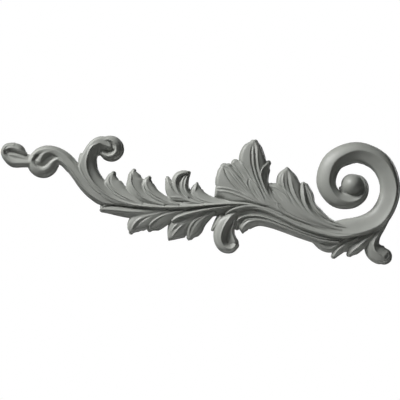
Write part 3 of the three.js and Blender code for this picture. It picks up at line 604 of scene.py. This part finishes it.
def left_veins():
    """Fine lines of the two end curls, the stem and the hook."""
    return [
        vein([
            [6.4, 153.6, 1.4, -0.3], [9, 152.8, 2.2, -1.05], [14, 153, 1.8, -0.75],
            [21, 154.6, 1.4, -0.15],
        ]),
        vein([
            [33.6, 160, 0.9, 0], [35, 164.6, 1, 0.75], [39, 168, 1, 0.9], [44, 168.2, 1, 0.9],
            [48.4, 165.4, 1, 0.9], [52.2, 161, 1, 0.9], [56.4, 158, 0.9, 0.9], [60.6, 158.6, 0.9, 0.75],
            [64, 161.6, 0.9, 0.3],
        ]),
        vein([
            [58, 161.6, 0.9, 0], [61, 160.6, 1, 0.75], [66, 164.4, 1.1, 0.9], [70.5, 169.4, 1.1, 0.9],
            [75.6, 176.4, 1.1, 0.9], [83, 186.8, 1.1, 0.9], [92, 195.2, 1.1, 0.9], [101, 200.6, 1, 0.3],
        ]),
        vein([
            [80, 157, 1, 0.3], [79.6, 163, 1.1, 0.9], [81.6, 170.6, 1.1, 0.9], [85.4, 178, 1.1, 0.9],
            [91.4, 185.8, 1.1, 0.9], [100, 193.2, 1, 0.6],
        ]),
        vein([
            [99, 143.6, 1.2, 0.3], [92.2, 147, 1.3, 0.9], [88.4, 155, 1.3, 1.05], [86.8, 164, 1.3, 1.05],
            [88.6, 172.6, 1.3, 1.05], [93, 181, 1.3, 1.05], [99.6, 188.3, 1.3, 1.05],
            [108, 195, 1.3, 1.05], [118, 200, 1.2, 0.9], [130, 203.4, 1, 0.3],
        ]),
        vein([
            [109.4, 141.2, 1.4, 0], [111.4, 142.8, 1.9, -0.9], [112.9, 146, 2, -1.5],
            [111.6, 149.6, 2, -1.5], [107.6, 151, 1.9, -1.2], [103.4, 150, 1.6, -0.45],
        ]),
        vein([
            [104, 139, 1.2, 0], [109, 139.8, 1.3, 0.6], [113.6, 142.4, 1.3, 0.9], [116.2, 147, 1.3, 0.9],
            [115, 152, 1.3, 0.75], [110.6, 155, 1.2, 0.6], [105.6, 154.2, 1, 0.15],
        ]),
    ]


def flute_veins():
    """Fine lines of the flutes, the small leaf and the rib."""
    return [
        vein([
            [104.8, 179.6, 1, 0.6], [106.2, 184.5, 1.1, 1.05], [110, 189, 1.1, 1.05],
            [115, 193.5, 1.1, 1.05], [120, 196.6, 1.1, 0.9], [127, 200.2, 1, 0.3],
        ]),
        vein([
            [109, 175.6, 0.9, 0.3], [108.6, 180, 1.1, 0.9], [110.2, 185, 1.1, 1.05],
            [113.6, 189, 1.1, 1.05], [118.4, 192.8, 1.1, 1.05], [125, 196.9, 1.1, 1.05],
            [133, 200.6, 1, 0.3],
        ]),
        vein([
            [107, 183, 0.9, -0.15], [109.6, 187.2, 1, -0.75], [113.4, 191.2, 1, -0.9],
            [118.6, 194.9, 1, -0.9], [125, 198.4, 0.9, -0.3],
        ]),
        vein([
            [130.8, 172, 1.2, 0.3], [131.2, 176, 1.5, 1.2], [131, 181, 1.5, 1.35],
            [133, 186.8, 1.5, 1.35], [137.2, 192.4, 1.4, 1.35], [143, 197.4, 1.3, 1.05],
            [151, 201.6, 1, 0.3],
        ]),
        vein([
            [143.2, 180, 1, 0.45], [142.7, 185, 1.1, 1.05], [144.6, 190, 1.1, 1.05],
            [149.4, 194.6, 1.1, 1.05], [156, 198.7, 1.1, 0.9], [163, 201.6, 1, 0.15],
        ]),
        vein([
            [146.8, 178.4, 0.9, 0.3], [146.2, 183, 1.1, 0.9], [147.8, 188, 1.1, 1.05],
            [152, 192.6, 1.1, 1.05], [158.6, 197.2, 1.1, 0.9], [167, 201, 1, 0.3],
        ]),
        vein([
            [144.4, 183, 0.9, -0.15], [146, 189.6, 1, -0.9], [150.4, 193.6, 1, -0.9],
            [157, 198, 1, -0.75], [163, 200.4, 0.9, -0.15],
        ]),
        vein([
            [166.6, 181, 1, 0.3], [169.2, 184, 1.2, 0.9], [171.6, 188.6, 1.2, 0.9],
            [174.4, 193, 1, 0.15],
        ]),
        vein([
            [187.8, 175, 1, 0.45], [185.6, 180.6, 1.2, 1.05], [184.8, 186.6, 1.2, 1.05],
            [187, 192.4, 1.2, 0.75], [192, 197, 1, 0.15],
        ]),
        vein([
            [196.8, 184.8, 1, 0.45], [195.4, 188.6, 1.2, 0.9], [194.8, 192, 1, 0.3],
        ]),
        vein([
            [190.8, 190.6, 0.9, 0.3], [193.4, 195, 1, 0.75], [198.6, 198.4, 1, 0.9],
            [206, 201.2, 1, 0.6], [214, 203, 0.9, 0.15],
        ]),
        vein([
            [168, 198, 0.9, 0.3], [172.4, 202.6, 1, 0.75], [180, 204.1, 1, 0.75], [189, 204.4, 0.9, 0.3],
        ]),
        vein([
            [170.6, 199.9, 0.9, -0.45], [176, 201.4, 1.2, -1.5], [183, 201.9, 1.2, -1.5],
            [189.6, 201.8, 0.9, -0.6],
        ]),
        vein([
            [168, 197.4, 0.9, 0.15], [174, 197.2, 1, 0.6], [182, 197.6, 0.9, 0.3],
        ]),
        vein([
            [125, 202.6, 1, 0.15], [135, 205, 1.2, 0.6], [150, 206.6, 1.3, 0.9], [170, 206.8, 1.2, 0.75],
            [195, 205.9, 1.2, 0.75], [222, 203.8, 1.2, 0.75], [250, 203.6, 1, 0.3],
        ]),
        vein([
            [120, 203.6, 1, -0.3], [135, 207.6, 1.2, -1.05], [155, 210, 1.2, -1.2],
            [180, 210, 1.2, -1.2], [205, 207.7, 1.2, -1.2], [225, 206, 1.1, -0.6],
        ]),
    ]


def lobe_veins():
    """Fine lines of the lobes under the rib."""
    return [
        vein([
            [106, 207.4, 0.9, -0.3], [112, 206, 1, -1.05], [121, 206.2, 1, -1.05],
            [131, 208.4, 1, -1.05], [143, 209.2, 0.9, -0.45],
        ]),
        vein([
            [106, 210.6, 1, 0.15], [115, 209.8, 1.1, 0.6], [128, 211.2, 1.1, 0.6], [142, 211.4, 1, 0.3],
        ]),
        vein([
            [131.4, 230.6, 1, 0.3], [133.6, 225.4, 1.3, 0.9], [137.4, 220.6, 1.3, 0.9],
            [142, 217.4, 1, 0.3],
        ]),
        vein([
            [134.4, 228.4, 1, -0.3], [138.6, 223.2, 1.3, -1.05], [145, 218.6, 1.3, -0.9],
            [152, 215.4, 1, -0.15],
        ]),
        vein([
            [149.2, 228.4, 1, 0.3], [150.8, 224.4, 1.3, 1.2], [155.8, 219.6, 1.3, 1.2],
            [163, 215.4, 1.2, 0.9], [171, 212.4, 1, 0.15],
        ]),
        vein([
            [172.6, 236, 1, 0.45], [176.4, 230.6, 1.3, 1.2], [181, 226, 1.2, 0.9], [186, 222.4, 1, 0.15],
        ]),
        vein([
            [171.6, 230.6, 1, 0.3], [174.6, 226.6, 1.1, 0.9], [178.4, 223, 1, 0.3],
        ]),
        vein([
            [174.6, 232.4, 0.9, -0.3], [178, 227.6, 1, -0.9], [182.4, 224, 0.9, -0.3],
        ]),
        vein([
            [188.8, 234, 1, 0.45], [189.8, 227.6, 1.3, 1.35], [193.6, 221.8, 1.3, 1.35],
            [199.4, 217.4, 1.2, 0.9], [206, 214, 1, 0.15],
        ]),
        vein([
            [173, 220.4, 1, 0.3], [178.4, 216.8, 1.2, 0.9], [188, 213.4, 1.2, 0.9],
            [200, 210.6, 1.2, 0.9], [216, 207.6, 1, 0.3],
        ]),
    ]


def leaf_veins():
    """Fine lines and grooves of the big leaf."""
    return [
        vein([
            [216, 187.4, 1, 0.6], [225, 188.2, 1.1, 0.9], [235, 190.6, 1.1, 0.9], [246, 195.6, 1.1, 0.9],
            [259, 203.2, 1, 0.3],
        ]),
        vein([
            [217, 191, 1, 0.45], [226, 191.6, 1.1, 0.9], [236, 194.6, 1.1, 0.9], [247, 199, 1.1, 0.75],
            [257, 203.6, 1, 0.15],
        ]),
        vein([
            [223.6, 167.6, 0.9, -0.3], [225.4, 173, 1.1, -1.35], [229.8, 181, 1.1, -1.35],
            [236.6, 188.4, 1.1, -1.2], [244, 194.6, 1, -0.9], [253, 200.4, 0.9, -0.3],
        ]),
        vein([
            [227.4, 169, 0.8, -0.15], [231.4, 174.6, 0.9, -0.75], [237.4, 182.4, 0.9, -0.75],
            [244.6, 190, 0.9, -0.6], [251, 195.6, 0.8, -0.15],
        ]),
        vein([
            [229.4, 170.6, 0.8, 0.15], [234, 176.8, 0.9, 0.75], [240, 184, 0.9, 0.75],
            [246.6, 190.8, 0.9, 0.6], [253, 196.6, 0.8, 0.15],
        ]),
        vein([
            [222.6, 165.4, 1, 0.3], [228.6, 167.4, 1, 0.75], [234.6, 173.4, 1, 0.75],
            [240.4, 180.4, 1, 0.75], [246, 187, 0.9, 0.3],
        ]),
        vein([
            [227.4, 165, 0.9, -0.3], [231.8, 167.2, 1.1, -1.2], [237.4, 173, 1.1, -1.35],
            [243.2, 181, 1.1, -1.2], [246.6, 186, 1, -0.3],
        ]),
        vein([
            [233.6, 163.8, 0.9, -0.15], [237, 168, 1.1, -1.05], [241.6, 174.6, 1.1, -1.05],
            [245.6, 181, 0.9, -0.3],
        ]),
        vein([
            [239, 160.6, 0.9, -0.6], [243.4, 164.8, 1.1, -1.35], [247.6, 171.6, 1.1, -1.35],
            [251.6, 178.6, 1.1, -1.2], [256.4, 185.6, 0.9, -0.3],
        ]),
        vein([
            [248.4, 179.4, 0.9, -0.45], [247.8, 184, 1.1, -1.35], [250.8, 190.4, 1.1, -1.35],
            [255.4, 197, 1, -1.05], [260.4, 202, 0.8, -0.15],
        ]),
        vein([
            [248.6, 179, 0.9, 0.3], [253, 181.6, 1.1, 0.9], [257.4, 188, 1.1, 0.9],
            [261.6, 195.6, 1, 0.75], [264.6, 202, 0.8, 0.15],
        ]),
        vein([
            [252, 186, 0.8, -0.15], [255, 191.4, 0.9, -0.75], [259, 197.4, 0.8, -0.3],
        ]),
        vein([
            [251.8, 145.4, 0.9, -0.15], [250.8, 153, 1.2, -1.2], [251.2, 162.6, 1.2, -1.5],
            [254, 174, 1.2, -1.5], [259.4, 187, 1.2, -1.2], [265, 199, 1, -0.3],
        ]),
        vein([
            [253, 147, 0.9, 0.3], [252.8, 156, 1, 0.9], [253.8, 166.6, 1, 0.9], [257.2, 179, 1, 0.9],
            [262.6, 191.6, 0.9, 0.3],
        ]),
        vein([
            [254.8, 149, 0.9, -0.15], [254.8, 158, 1, -1.05], [256.2, 169, 1, -1.05],
            [259.8, 181, 1, -0.9], [264.4, 192, 0.9, -0.15],
        ]),
        vein([
            [257, 147.6, 0.9, 0.15], [257, 158, 1.1, 0.75], [258.6, 170, 1.1, 0.75],
            [262.4, 182.6, 1.1, 0.75], [267.4, 194, 0.9, 0.15],
        ]),
        vein([
            [268.6, 162.6, 1, 0.45], [264.6, 165.6, 1.2, 1.2], [261.4, 170.6, 1.2, 1.2],
            [260.8, 177, 1.2, 1.05], [263.4, 186, 1.1, 0.6], [268.4, 196.4, 0.9, 0.15],
        ]),
        vein([
            [268.4, 184.6, 1, -0.45], [268, 189, 1.3, -0.9], [270.4, 196, 1.3, -0.75],
            [276, 203.6, 1, -0.15],
        ]),
        vein([
            [270, 186.4, 0.9, 0.45], [275.4, 187.6, 1, 0.9], [281, 191.2, 1, 0.9],
            [285.6, 196.6, 1, 0.75], [290, 203, 0.9, 0.15],
        ]),
        vein([
            [271.4, 182.8, 0.9, -0.3], [277.6, 184.8, 1.1, -1.2], [284, 189.8, 1.1, -1.2],
            [288.8, 197, 1.1, -1.05], [294, 206, 0.9, -0.15],
        ]),
        vein([
            [272.4, 190, 0.8, -0.15], [276.4, 194.6, 0.9, -0.75], [281, 200.4, 0.8, -0.3],
        ]),
        vein([
            [283.4, 173, 0.9, 0.15], [282.4, 179, 1.2, 0.9], [283.4, 186.6, 1.2, 0.9],
            [287.6, 196, 1.1, 0.6], [293, 203.6, 0.9, 0.15],
        ]),
        vein([
            [287.4, 178, 0.9, -0.15], [288, 185, 1.2, -0.75], [290.6, 192.6, 1.2, -0.9],
            [294.8, 200, 1.2, -0.75], [301, 208, 0.9, -0.3],
        ]),
        vein([
            [290, 178, 0.9, 0.15], [291.8, 186.6, 1.1, 0.75], [295.6, 196.6, 1.1, 0.75],
            [301.6, 206, 0.9, 0.15],
        ]),
        vein([
            [299.6, 184.6, 0.9, -0.45], [299.4, 192, 1.2, -1.35], [301.6, 201.6, 1.2, -1.35],
            [306.6, 210.4, 1.1, -0.9], [314, 217.6, 0.9, -0.15],
        ]),
        vein([
            [303.4, 187, 0.9, 0.45], [303.4, 195, 1.1, 1.05], [305.6, 204.6, 1.1, 1.05],
            [310.8, 212.4, 1.1, 0.75], [319, 219, 0.9, 0.15],
        ]),
        vein([
            [308, 187.6, 0.9, 0.45], [312, 195, 1, 0.75], [314.4, 203.6, 1, 0.75], [319, 210.6, 1, 0.6],
            [326, 216.4, 0.8, 0.15],
        ]),
        vein([
            [271.6, 200.4, 0.9, 0.15], [276.6, 202.6, 1, 0.45], [281.4, 203.4, 0.8, 0.15],
        ]),
        vein([
            [276.6, 203.6, 0.9, 0.15], [277.6, 208, 1, 0.45], [284, 213.8, 1, 0.6],
            [294, 219.4, 0.8, 0.15],
        ]),
        vein([
            [280.4, 207.4, 0.9, -0.15], [285, 211.4, 1, -0.9], [292, 215.6, 1, -0.9],
            [303, 220.4, 1, -0.75], [318, 225.4, 0.9, -0.15],
        ]),
        vein([
            [281, 213.6, 0.8, -0.3], [292, 219.4, 1, -0.75], [306, 225, 1, -0.75], [322, 229.6, 1, -0.6],
            [338, 232.4, 0.9, -0.15],
        ]),
    ]


def stem_veins():
    """Fine lines of the lower stem, its hook and the foot."""
    return [
        vein([
            [230, 217, 1.1, 0.3], [225.2, 223.6, 1.3, 0.75], [222, 231, 1.3, 0.9], [221, 238, 1.3, 0.75],
            [222.6, 244, 1.1, 0.15],
        ]),
        vein([
            [225, 247, 1.1, 0.3], [231, 248.8, 1.2, 0.75], [235.6, 245.6, 1.1, 0.45],
        ]),
        vein([
            [240.6, 226, 1, 0.45], [243, 221.8, 1.2, 1.05], [248.6, 218.9, 1.2, 1.05],
            [257, 218.6, 1, 0.45],
        ]),
        vein([
            [282, 220.4, 1, -0.15], [295, 227, 1.2, -1.05], [312, 233, 1.2, -1.2],
            [330, 237.6, 1.2, -1.2], [348, 238, 1.2, -0.9], [364, 234.6, 1, -0.3],
        ]),
        vein([
            [290, 216.6, 0.8, -0.15], [305, 224, 0.9, -0.6], [322, 230.6, 0.9, -0.75],
            [340, 234.4, 0.9, -0.75], [356, 234, 0.8, -0.15],
        ]),
        vein([
            [374, 239, 1.1, 0.3], [372.6, 244.6, 1.2, 0.75], [374.6, 250.6, 1.2, 0.75],
            [379.6, 254.4, 1.1, 0.45],
        ]),
        vein([
            [385.2, 257.4, 2.3, -1.05], [387, 255.2, 2.3, -1.05],
        ]),
        vein([
            [349.4, 254.6, 0.9, 0.45], [353, 250.6, 1.1, 1.05], [360, 244.8, 1.1, 1.05],
            [366.4, 240, 1, 0.3],
        ]),
        vein([
            [333.8, 255.6, 0.9, 0.45], [337.2, 250.2, 1.1, 1.05], [342.4, 246, 1.1, 0.9],
            [350, 241.4, 1, 0.15],
        ]),
    ]


# Volute: the band leaves the stem, runs round one and a half times and closes on the eye.
# The radius of the crest is given after each quarter turn, and its left reach, right reach and height
# after each eighth.
VOLUTE_CENTRE = (353, 185)
VOLUTE_START = -100
VOLUTE_STEP = 45
VOLUTE_RADII = [51.5, 42.4, 35.1, 25.1, 16.6, 11.9, 9.6]
VOLUTE_SIZES = [
    [16.4, 4.2, 13.8], [16.4, 4.8, 13.8], [15.3, 5.1, 13.6], [15.4, 7, 13.4], [13.9, 8.5, 13],
    [9.8, 11.2, 12.8], [7.4, 12, 12.5], [6.4, 10.3, 12.2], [8.6, 7.5, 12], [7.6, 5.6, 11.4],
    [5.4, 3.8, 10.6], [3.4, 2.6, 9.4], [2.8, 1.6, 7],
]
EYE_CENTRE = (351.8, 184.4)
EYE_RADIUS = 10.7


def volute():
    """Stem of the volute, its turns, the ledge round the eye and the eye."""
    stem = [
        [246, 207.4, 1, 1, 11.6], [263, 209.8, 3, 3, 12.6], [282, 218, 7, 3.4, 13],
        [300, 226.5, 9, 4, 13.4], [322, 233.4, 13, 4, 13.6],
    ]
    steps = len(VOLUTE_SIZES) - 1
    turns = []
    for k, sizes in enumerate(VOLUTE_SIZES):
        angle = math.radians(VOLUTE_START + VOLUTE_STEP * k)
        radius = float(along(VOLUTE_RADII, np.array([k / steps]))[0])
        x = VOLUTE_CENTRE[0] + radius * math.cos(angle)
        y = VOLUTE_CENTRE[1] - radius * math.sin(angle)
        turns.append([x, y, *sizes])
    return [
        ridge(stem + turns, left=COVE, right=SWELL),
        ridge([
            [341.2, 188.4, 2.4, 2.4, 6.4], [345.4, 193, 3.2, 3, 7.6], [352, 195.4, 3.4, 3, 8.2],
            [358.4, 193.4, 3.4, 3, 8.2], [362.4, 188.3, 3, 2.6, 8], [363, 182, 2, 2, 7.5],
        ]),
        dome(EYE_CENTRE, EYE_RADIUS, EYE_HEIGHT),
    ]


# Outline of the surface: it is cut through the grid cells where the carving ends
CORNERS = ((0, 0), (1, 0), (1, 1), (0, 1))


def front_faces(carving):
    """Points and faces of the carved front, and the edges along its outline."""
    inner = carving.inside > 0
    index = np.full(inner.shape, -1)
    index[inner] = np.arange(inner.sum())
    points = [tuple(p) for p in np.stack([carving.x[inner], carving.y[inner], carving.height[inner]], 1)]
    quarters = (inner[:-1, :-1], inner[:-1, 1:], inner[1:, 1:], inner[1:, :-1])
    full = np.all(quarters, 0)
    some = np.any(quarters, 0)
    faces = [tuple(int(index[j + dj, i + di]) for dj, di in CORNERS) for j, i in np.argwhere(full)]
    crossings = {}
    outline = []

    def crossing(a, b):
        key = (min(a, b), max(a, b))
        if key not in crossings:
            near = carving.inside[key[0]]
            far = carving.inside[key[1]]
            share = near / (near - far)
            x = carving.x[key[0]] + share * (carving.x[key[1]] - carving.x[key[0]])
            y = carving.y[key[0]] + share * (carving.y[key[1]] - carving.y[key[0]])
            crossings[key] = len(points)
            points.append((x, y, EDGE_THICKNESS))
        return crossings[key]

    for j, i in np.argwhere(some & ~full):
        corners = [(j + dj, i + di) for dj, di in CORNERS]
        loop = []
        leaving = []
        for a, b in zip(corners, corners[1:] + corners[:1]):
            if inner[a]:
                loop.append(int(index[a]))
            if inner[a] != inner[b]:
                loop.append(crossing(a, b))
                leaving.append((loop[-1], inner[a]))
        faces.append(tuple(loop))
        for k, (point, goes_out) in enumerate(leaving):
            if goes_out:
                outline.append((point, leaving[(k + 1) % len(leaving)][0]))
    return points, faces, outline


def loops_of(edges):
    """Closed loops of an outline, each a list of points in order."""
    following = dict(edges)
    loops = []
    while following:
        start, point = following.popitem()
        loop = [start]
        while point != start:
            loop.append(point)
            point = following.pop(point)
        loops.append(loop)
    return loops


def to_frame(points):
    """Points of the drawing in metres, fitted into the box of the solid."""
    p = np.array(points, float)
    out = np.stack([(p[:, 0] - ORIGIN[0]) * UNIT, -p[:, 2], (ORIGIN[1] - p[:, 1]) * UNIT], 1)
    low, high = (np.array(corner, float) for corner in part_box(NODE))
    for axis in (0, 2):
        size = out[:, axis].max() - out[:, axis].min()
        scale = (high[axis] - low[axis] - 2 * BOX_MARGIN) / size
        out[:, axis] = low[axis] + BOX_MARGIN + (out[:, axis] - out[:, axis].min()) * scale
    out[:, 1] *= (low[1] + BOX_MARGIN) / out[:, 1].min()
    return out


def onlay_mesh(carving):
    """Closed mesh: the carved front, upright sides along its outline, and the flat back."""
    points, faces, outline = front_faces(carving)
    foot = {}
    for a, b in outline:
        for point in (a, b):
            if point not in foot:
                foot[point] = len(points)
                points.append((points[point][0], points[point][1], 0.0))
        faces.append((b, a, foot[a], foot[b]))
    for loop in loops_of(outline):
        faces.append(tuple(foot[point] for point in reversed(loop)))
    mesh = bpy.data.meshes.new("onlay_carved")
    mesh.from_pydata(to_frame(points).tolist(), [], faces)
    mesh.validate()
    mesh.update()
    return mesh


# Grey primer over the moulding, and the angle in degrees past which an edge stays sharp
SHARP_ANGLE = 85
PRIMER_LIGHT = (0.275, 0.283, 0.262, 1)
PRIMER_DARK = (0.235, 0.242, 0.224, 1)
PRIMER_ROUGHNESS = (0.44, 0.56)
BLOTCH_SCALE = 38
BLOTCH_DETAIL = 5
BLOTCH_RANGE = (0.3, 0.7)
GRAIN_SCALE = 900
GRAIN_DETAIL = 3
GRAIN_DEPTH = 0.05 * MM
GRAIN_STRENGTH = 0.5


def added(name, data):
    """New object of the scene."""
    new = bpy.data.objects.new(name, data)
    bpy.context.collection.objects.link(new)
    return new


def nodes_of(owner):
    """Nodes and links of a material or world."""
    owner.use_nodes = True
    return owner.node_tree.nodes, owner.node_tree.links


def primer_material():
    """Satin grey primer: faint blotches, a fine sprayed grain and a slight change of gloss."""
    material = bpy.data.materials.new("grey_primer")
    nodes, links = nodes_of(material)
    shader = nodes["Principled BSDF"]
    coordinates = nodes.new("ShaderNodeTexCoord")
    blotch = nodes.new("ShaderNodeTexNoise")
    blotch.inputs["Scale"].default_value = BLOTCH_SCALE
    blotch.inputs["Detail"].default_value = BLOTCH_DETAIL
    grain = nodes.new("ShaderNodeTexNoise")
    grain.inputs["Scale"].default_value = GRAIN_SCALE
    grain.inputs["Detail"].default_value = GRAIN_DETAIL
    for noise in (blotch, grain):
        links.new(coordinates.outputs["Object"], noise.inputs["Vector"])
    colour = nodes.new("ShaderNodeValToRGB")
    for stop, place, tint in zip(colour.color_ramp.elements, BLOTCH_RANGE, (PRIMER_DARK, PRIMER_LIGHT)):
        stop.position = place
        stop.color = tint
    links.new(blotch.outputs["Fac"], colour.inputs["Fac"])
    links.new(colour.outputs["Color"], shader.inputs["Base Color"])
    gloss = nodes.new("ShaderNodeMapRange")
    gloss.inputs["To Min"].default_value = PRIMER_ROUGHNESS[0]
    gloss.inputs["To Max"].default_value = PRIMER_ROUGHNESS[1]
    links.new(grain.outputs["Fac"], gloss.inputs["Value"])
    links.new(gloss.outputs["Result"], shader.inputs["Roughness"])
    bump = nodes.new("ShaderNodeBump")
    bump.inputs["Strength"].default_value = GRAIN_STRENGTH
    bump.inputs["Distance"].default_value = GRAIN_DEPTH
    links.new(grain.outputs["Fac"], bump.inputs["Height"])
    links.new(bump.outputs["Normal"], shader.inputs["Normal"])
    return material


def make_onlay():
    carving = Carving()
    for pieces in (
        tail_curl(),
        second_curl(),
        stem(),
        hook(),
        rib(),
        upper_flutes(),
        middle_leaf(),
        lower_lobes(),
        big_leaf(),
        big_leaf_right(),
        lower_stem(),
        foot(),
        volute(),
    ):
        carving.add(pieces)
    carving.close_gaps()
    carving.round_edges()
    for lines in (
        left_veins(),
        flute_veins(),
        lobe_veins(),
        leaf_veins(),
        stem_veins(),
    ):
        carving.add(lines)
    carving.soften()
    mesh = onlay_mesh(carving)
    mesh.materials.append(primer_material())
    mesh.shade_smooth()
    mesh.set_sharp_from_angle(angle=math.radians(SHARP_ANGLE))
    onlay = added("carved_onlay", mesh)
    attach(onlay, "root")
    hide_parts(NODE)


# Stage: white world, pale floor well below the onlay, one key light from the upper left and soft fills
PICTURE_WIDTH = 400
PICTURE_CENTRE = (200, 200)
CAMERA_DISTANCE = 1.6
SENSOR_WIDTH = 36
FLOOR_LEVEL = -0.3
FLOOR_SIZE = 2
FLOOR_COLOUR = (0.8, 0.8, 0.79, 1)
FLOOR_ROUGHNESS = 0.8
FLOOR_GLOW = 0.6
WORLD_LIGHT = 0.035
LIGHT_SPREAD = 40
KEY = {"way": (-0.64, -0.4, 0.65), "distance": 1.3, "size": 0.5, "power": 2.1}
FRONT_FILL = {"way": (-0.14, -0.93, 0.34), "distance": 1.5, "size": 0.3, "power": 0.1}
BACK_FILL = {"way": (0.25, 0.95, 0.12), "distance": 1.5, "size": 1.2, "power": 1.8}


def aimed_light(name, setting):
    data = bpy.data.lights.new(name, "AREA")
    data.size = setting["size"]
    data.energy = setting["power"]
    data.spread = math.radians(LIGHT_SPREAD)
    light = added(name, data)
    way = Vector(setting["way"]).normalized()
    light.location = way * setting["distance"]
    light.rotation_euler = (-way).to_track_quat("-Z", "Y").to_euler()


def make_world():
    """White where the camera sees it, and a weaker even light on the onlay."""
    world = bpy.data.worlds.new("studio")
    bpy.context.scene.world = world
    nodes, links = nodes_of(world)
    background = nodes["Background"]
    background.inputs["Color"].default_value = (1, 1, 1, 1)
    path = nodes.new("ShaderNodeLightPath")
    strength = nodes.new("ShaderNodeMapRange")
    strength.inputs["To Min"].default_value = WORLD_LIGHT
    strength.inputs["To Max"].default_value = 1
    links.new(path.outputs["Is Camera Ray"], strength.inputs["Value"])
    links.new(strength.outputs["Result"], background.inputs["Strength"])


def make_floor():
    """Pale floor that stays pale outside the lights, without lighting the onlay."""
    half = FLOOR_SIZE / 2
    corners = [(-half, -half), (half, -half), (half, half), (-half, half)]
    mesh = bpy.data.meshes.new("floor")
    mesh.from_pydata([(x, y, FLOOR_LEVEL) for x, y in corners], [], [(0, 1, 2, 3)])
    material = bpy.data.materials.new("pale_floor")
    nodes, links = nodes_of(material)
    shader = nodes["Principled BSDF"]
    shader.inputs["Base Color"].default_value = FLOOR_COLOUR
    shader.inputs["Roughness"].default_value = FLOOR_ROUGHNESS
    shader.inputs["Emission Color"].default_value = FLOOR_COLOUR
    path = nodes.new("ShaderNodeLightPath")
    glow = nodes.new("ShaderNodeMath")
    glow.operation = "MULTIPLY"
    glow.inputs[1].default_value = FLOOR_GLOW
    links.new(path.outputs["Is Camera Ray"], glow.inputs[0])
    links.new(glow.outputs["Value"], shader.inputs["Emission Strength"])
    mesh.materials.append(material)
    added("floor", mesh)


def make_camera():
    data = bpy.data.cameras.new("camera")
    data.sensor_width = SENSOR_WIDTH
    data.lens = SENSOR_WIDTH * CAMERA_DISTANCE / (PICTURE_WIDTH * UNIT)
    camera = added("camera", data)
    x = (PICTURE_CENTRE[0] - ORIGIN[0]) * UNIT
    z = (ORIGIN[1] - PICTURE_CENTRE[1]) * UNIT
    camera.location = (x, -CAMERA_DISTANCE, z)
    camera.rotation_euler = (math.pi / 2, 0, 0)
    bpy.context.scene.camera = camera


make_camera()
make_world()
make_floor()
aimed_light("key_light", KEY)
aimed_light("front_fill", FRONT_FILL)
aimed_light("back_fill", BACK_FILL)
bpy.context.scene.view_settings.view_transform = "Standard"
make_onlay()
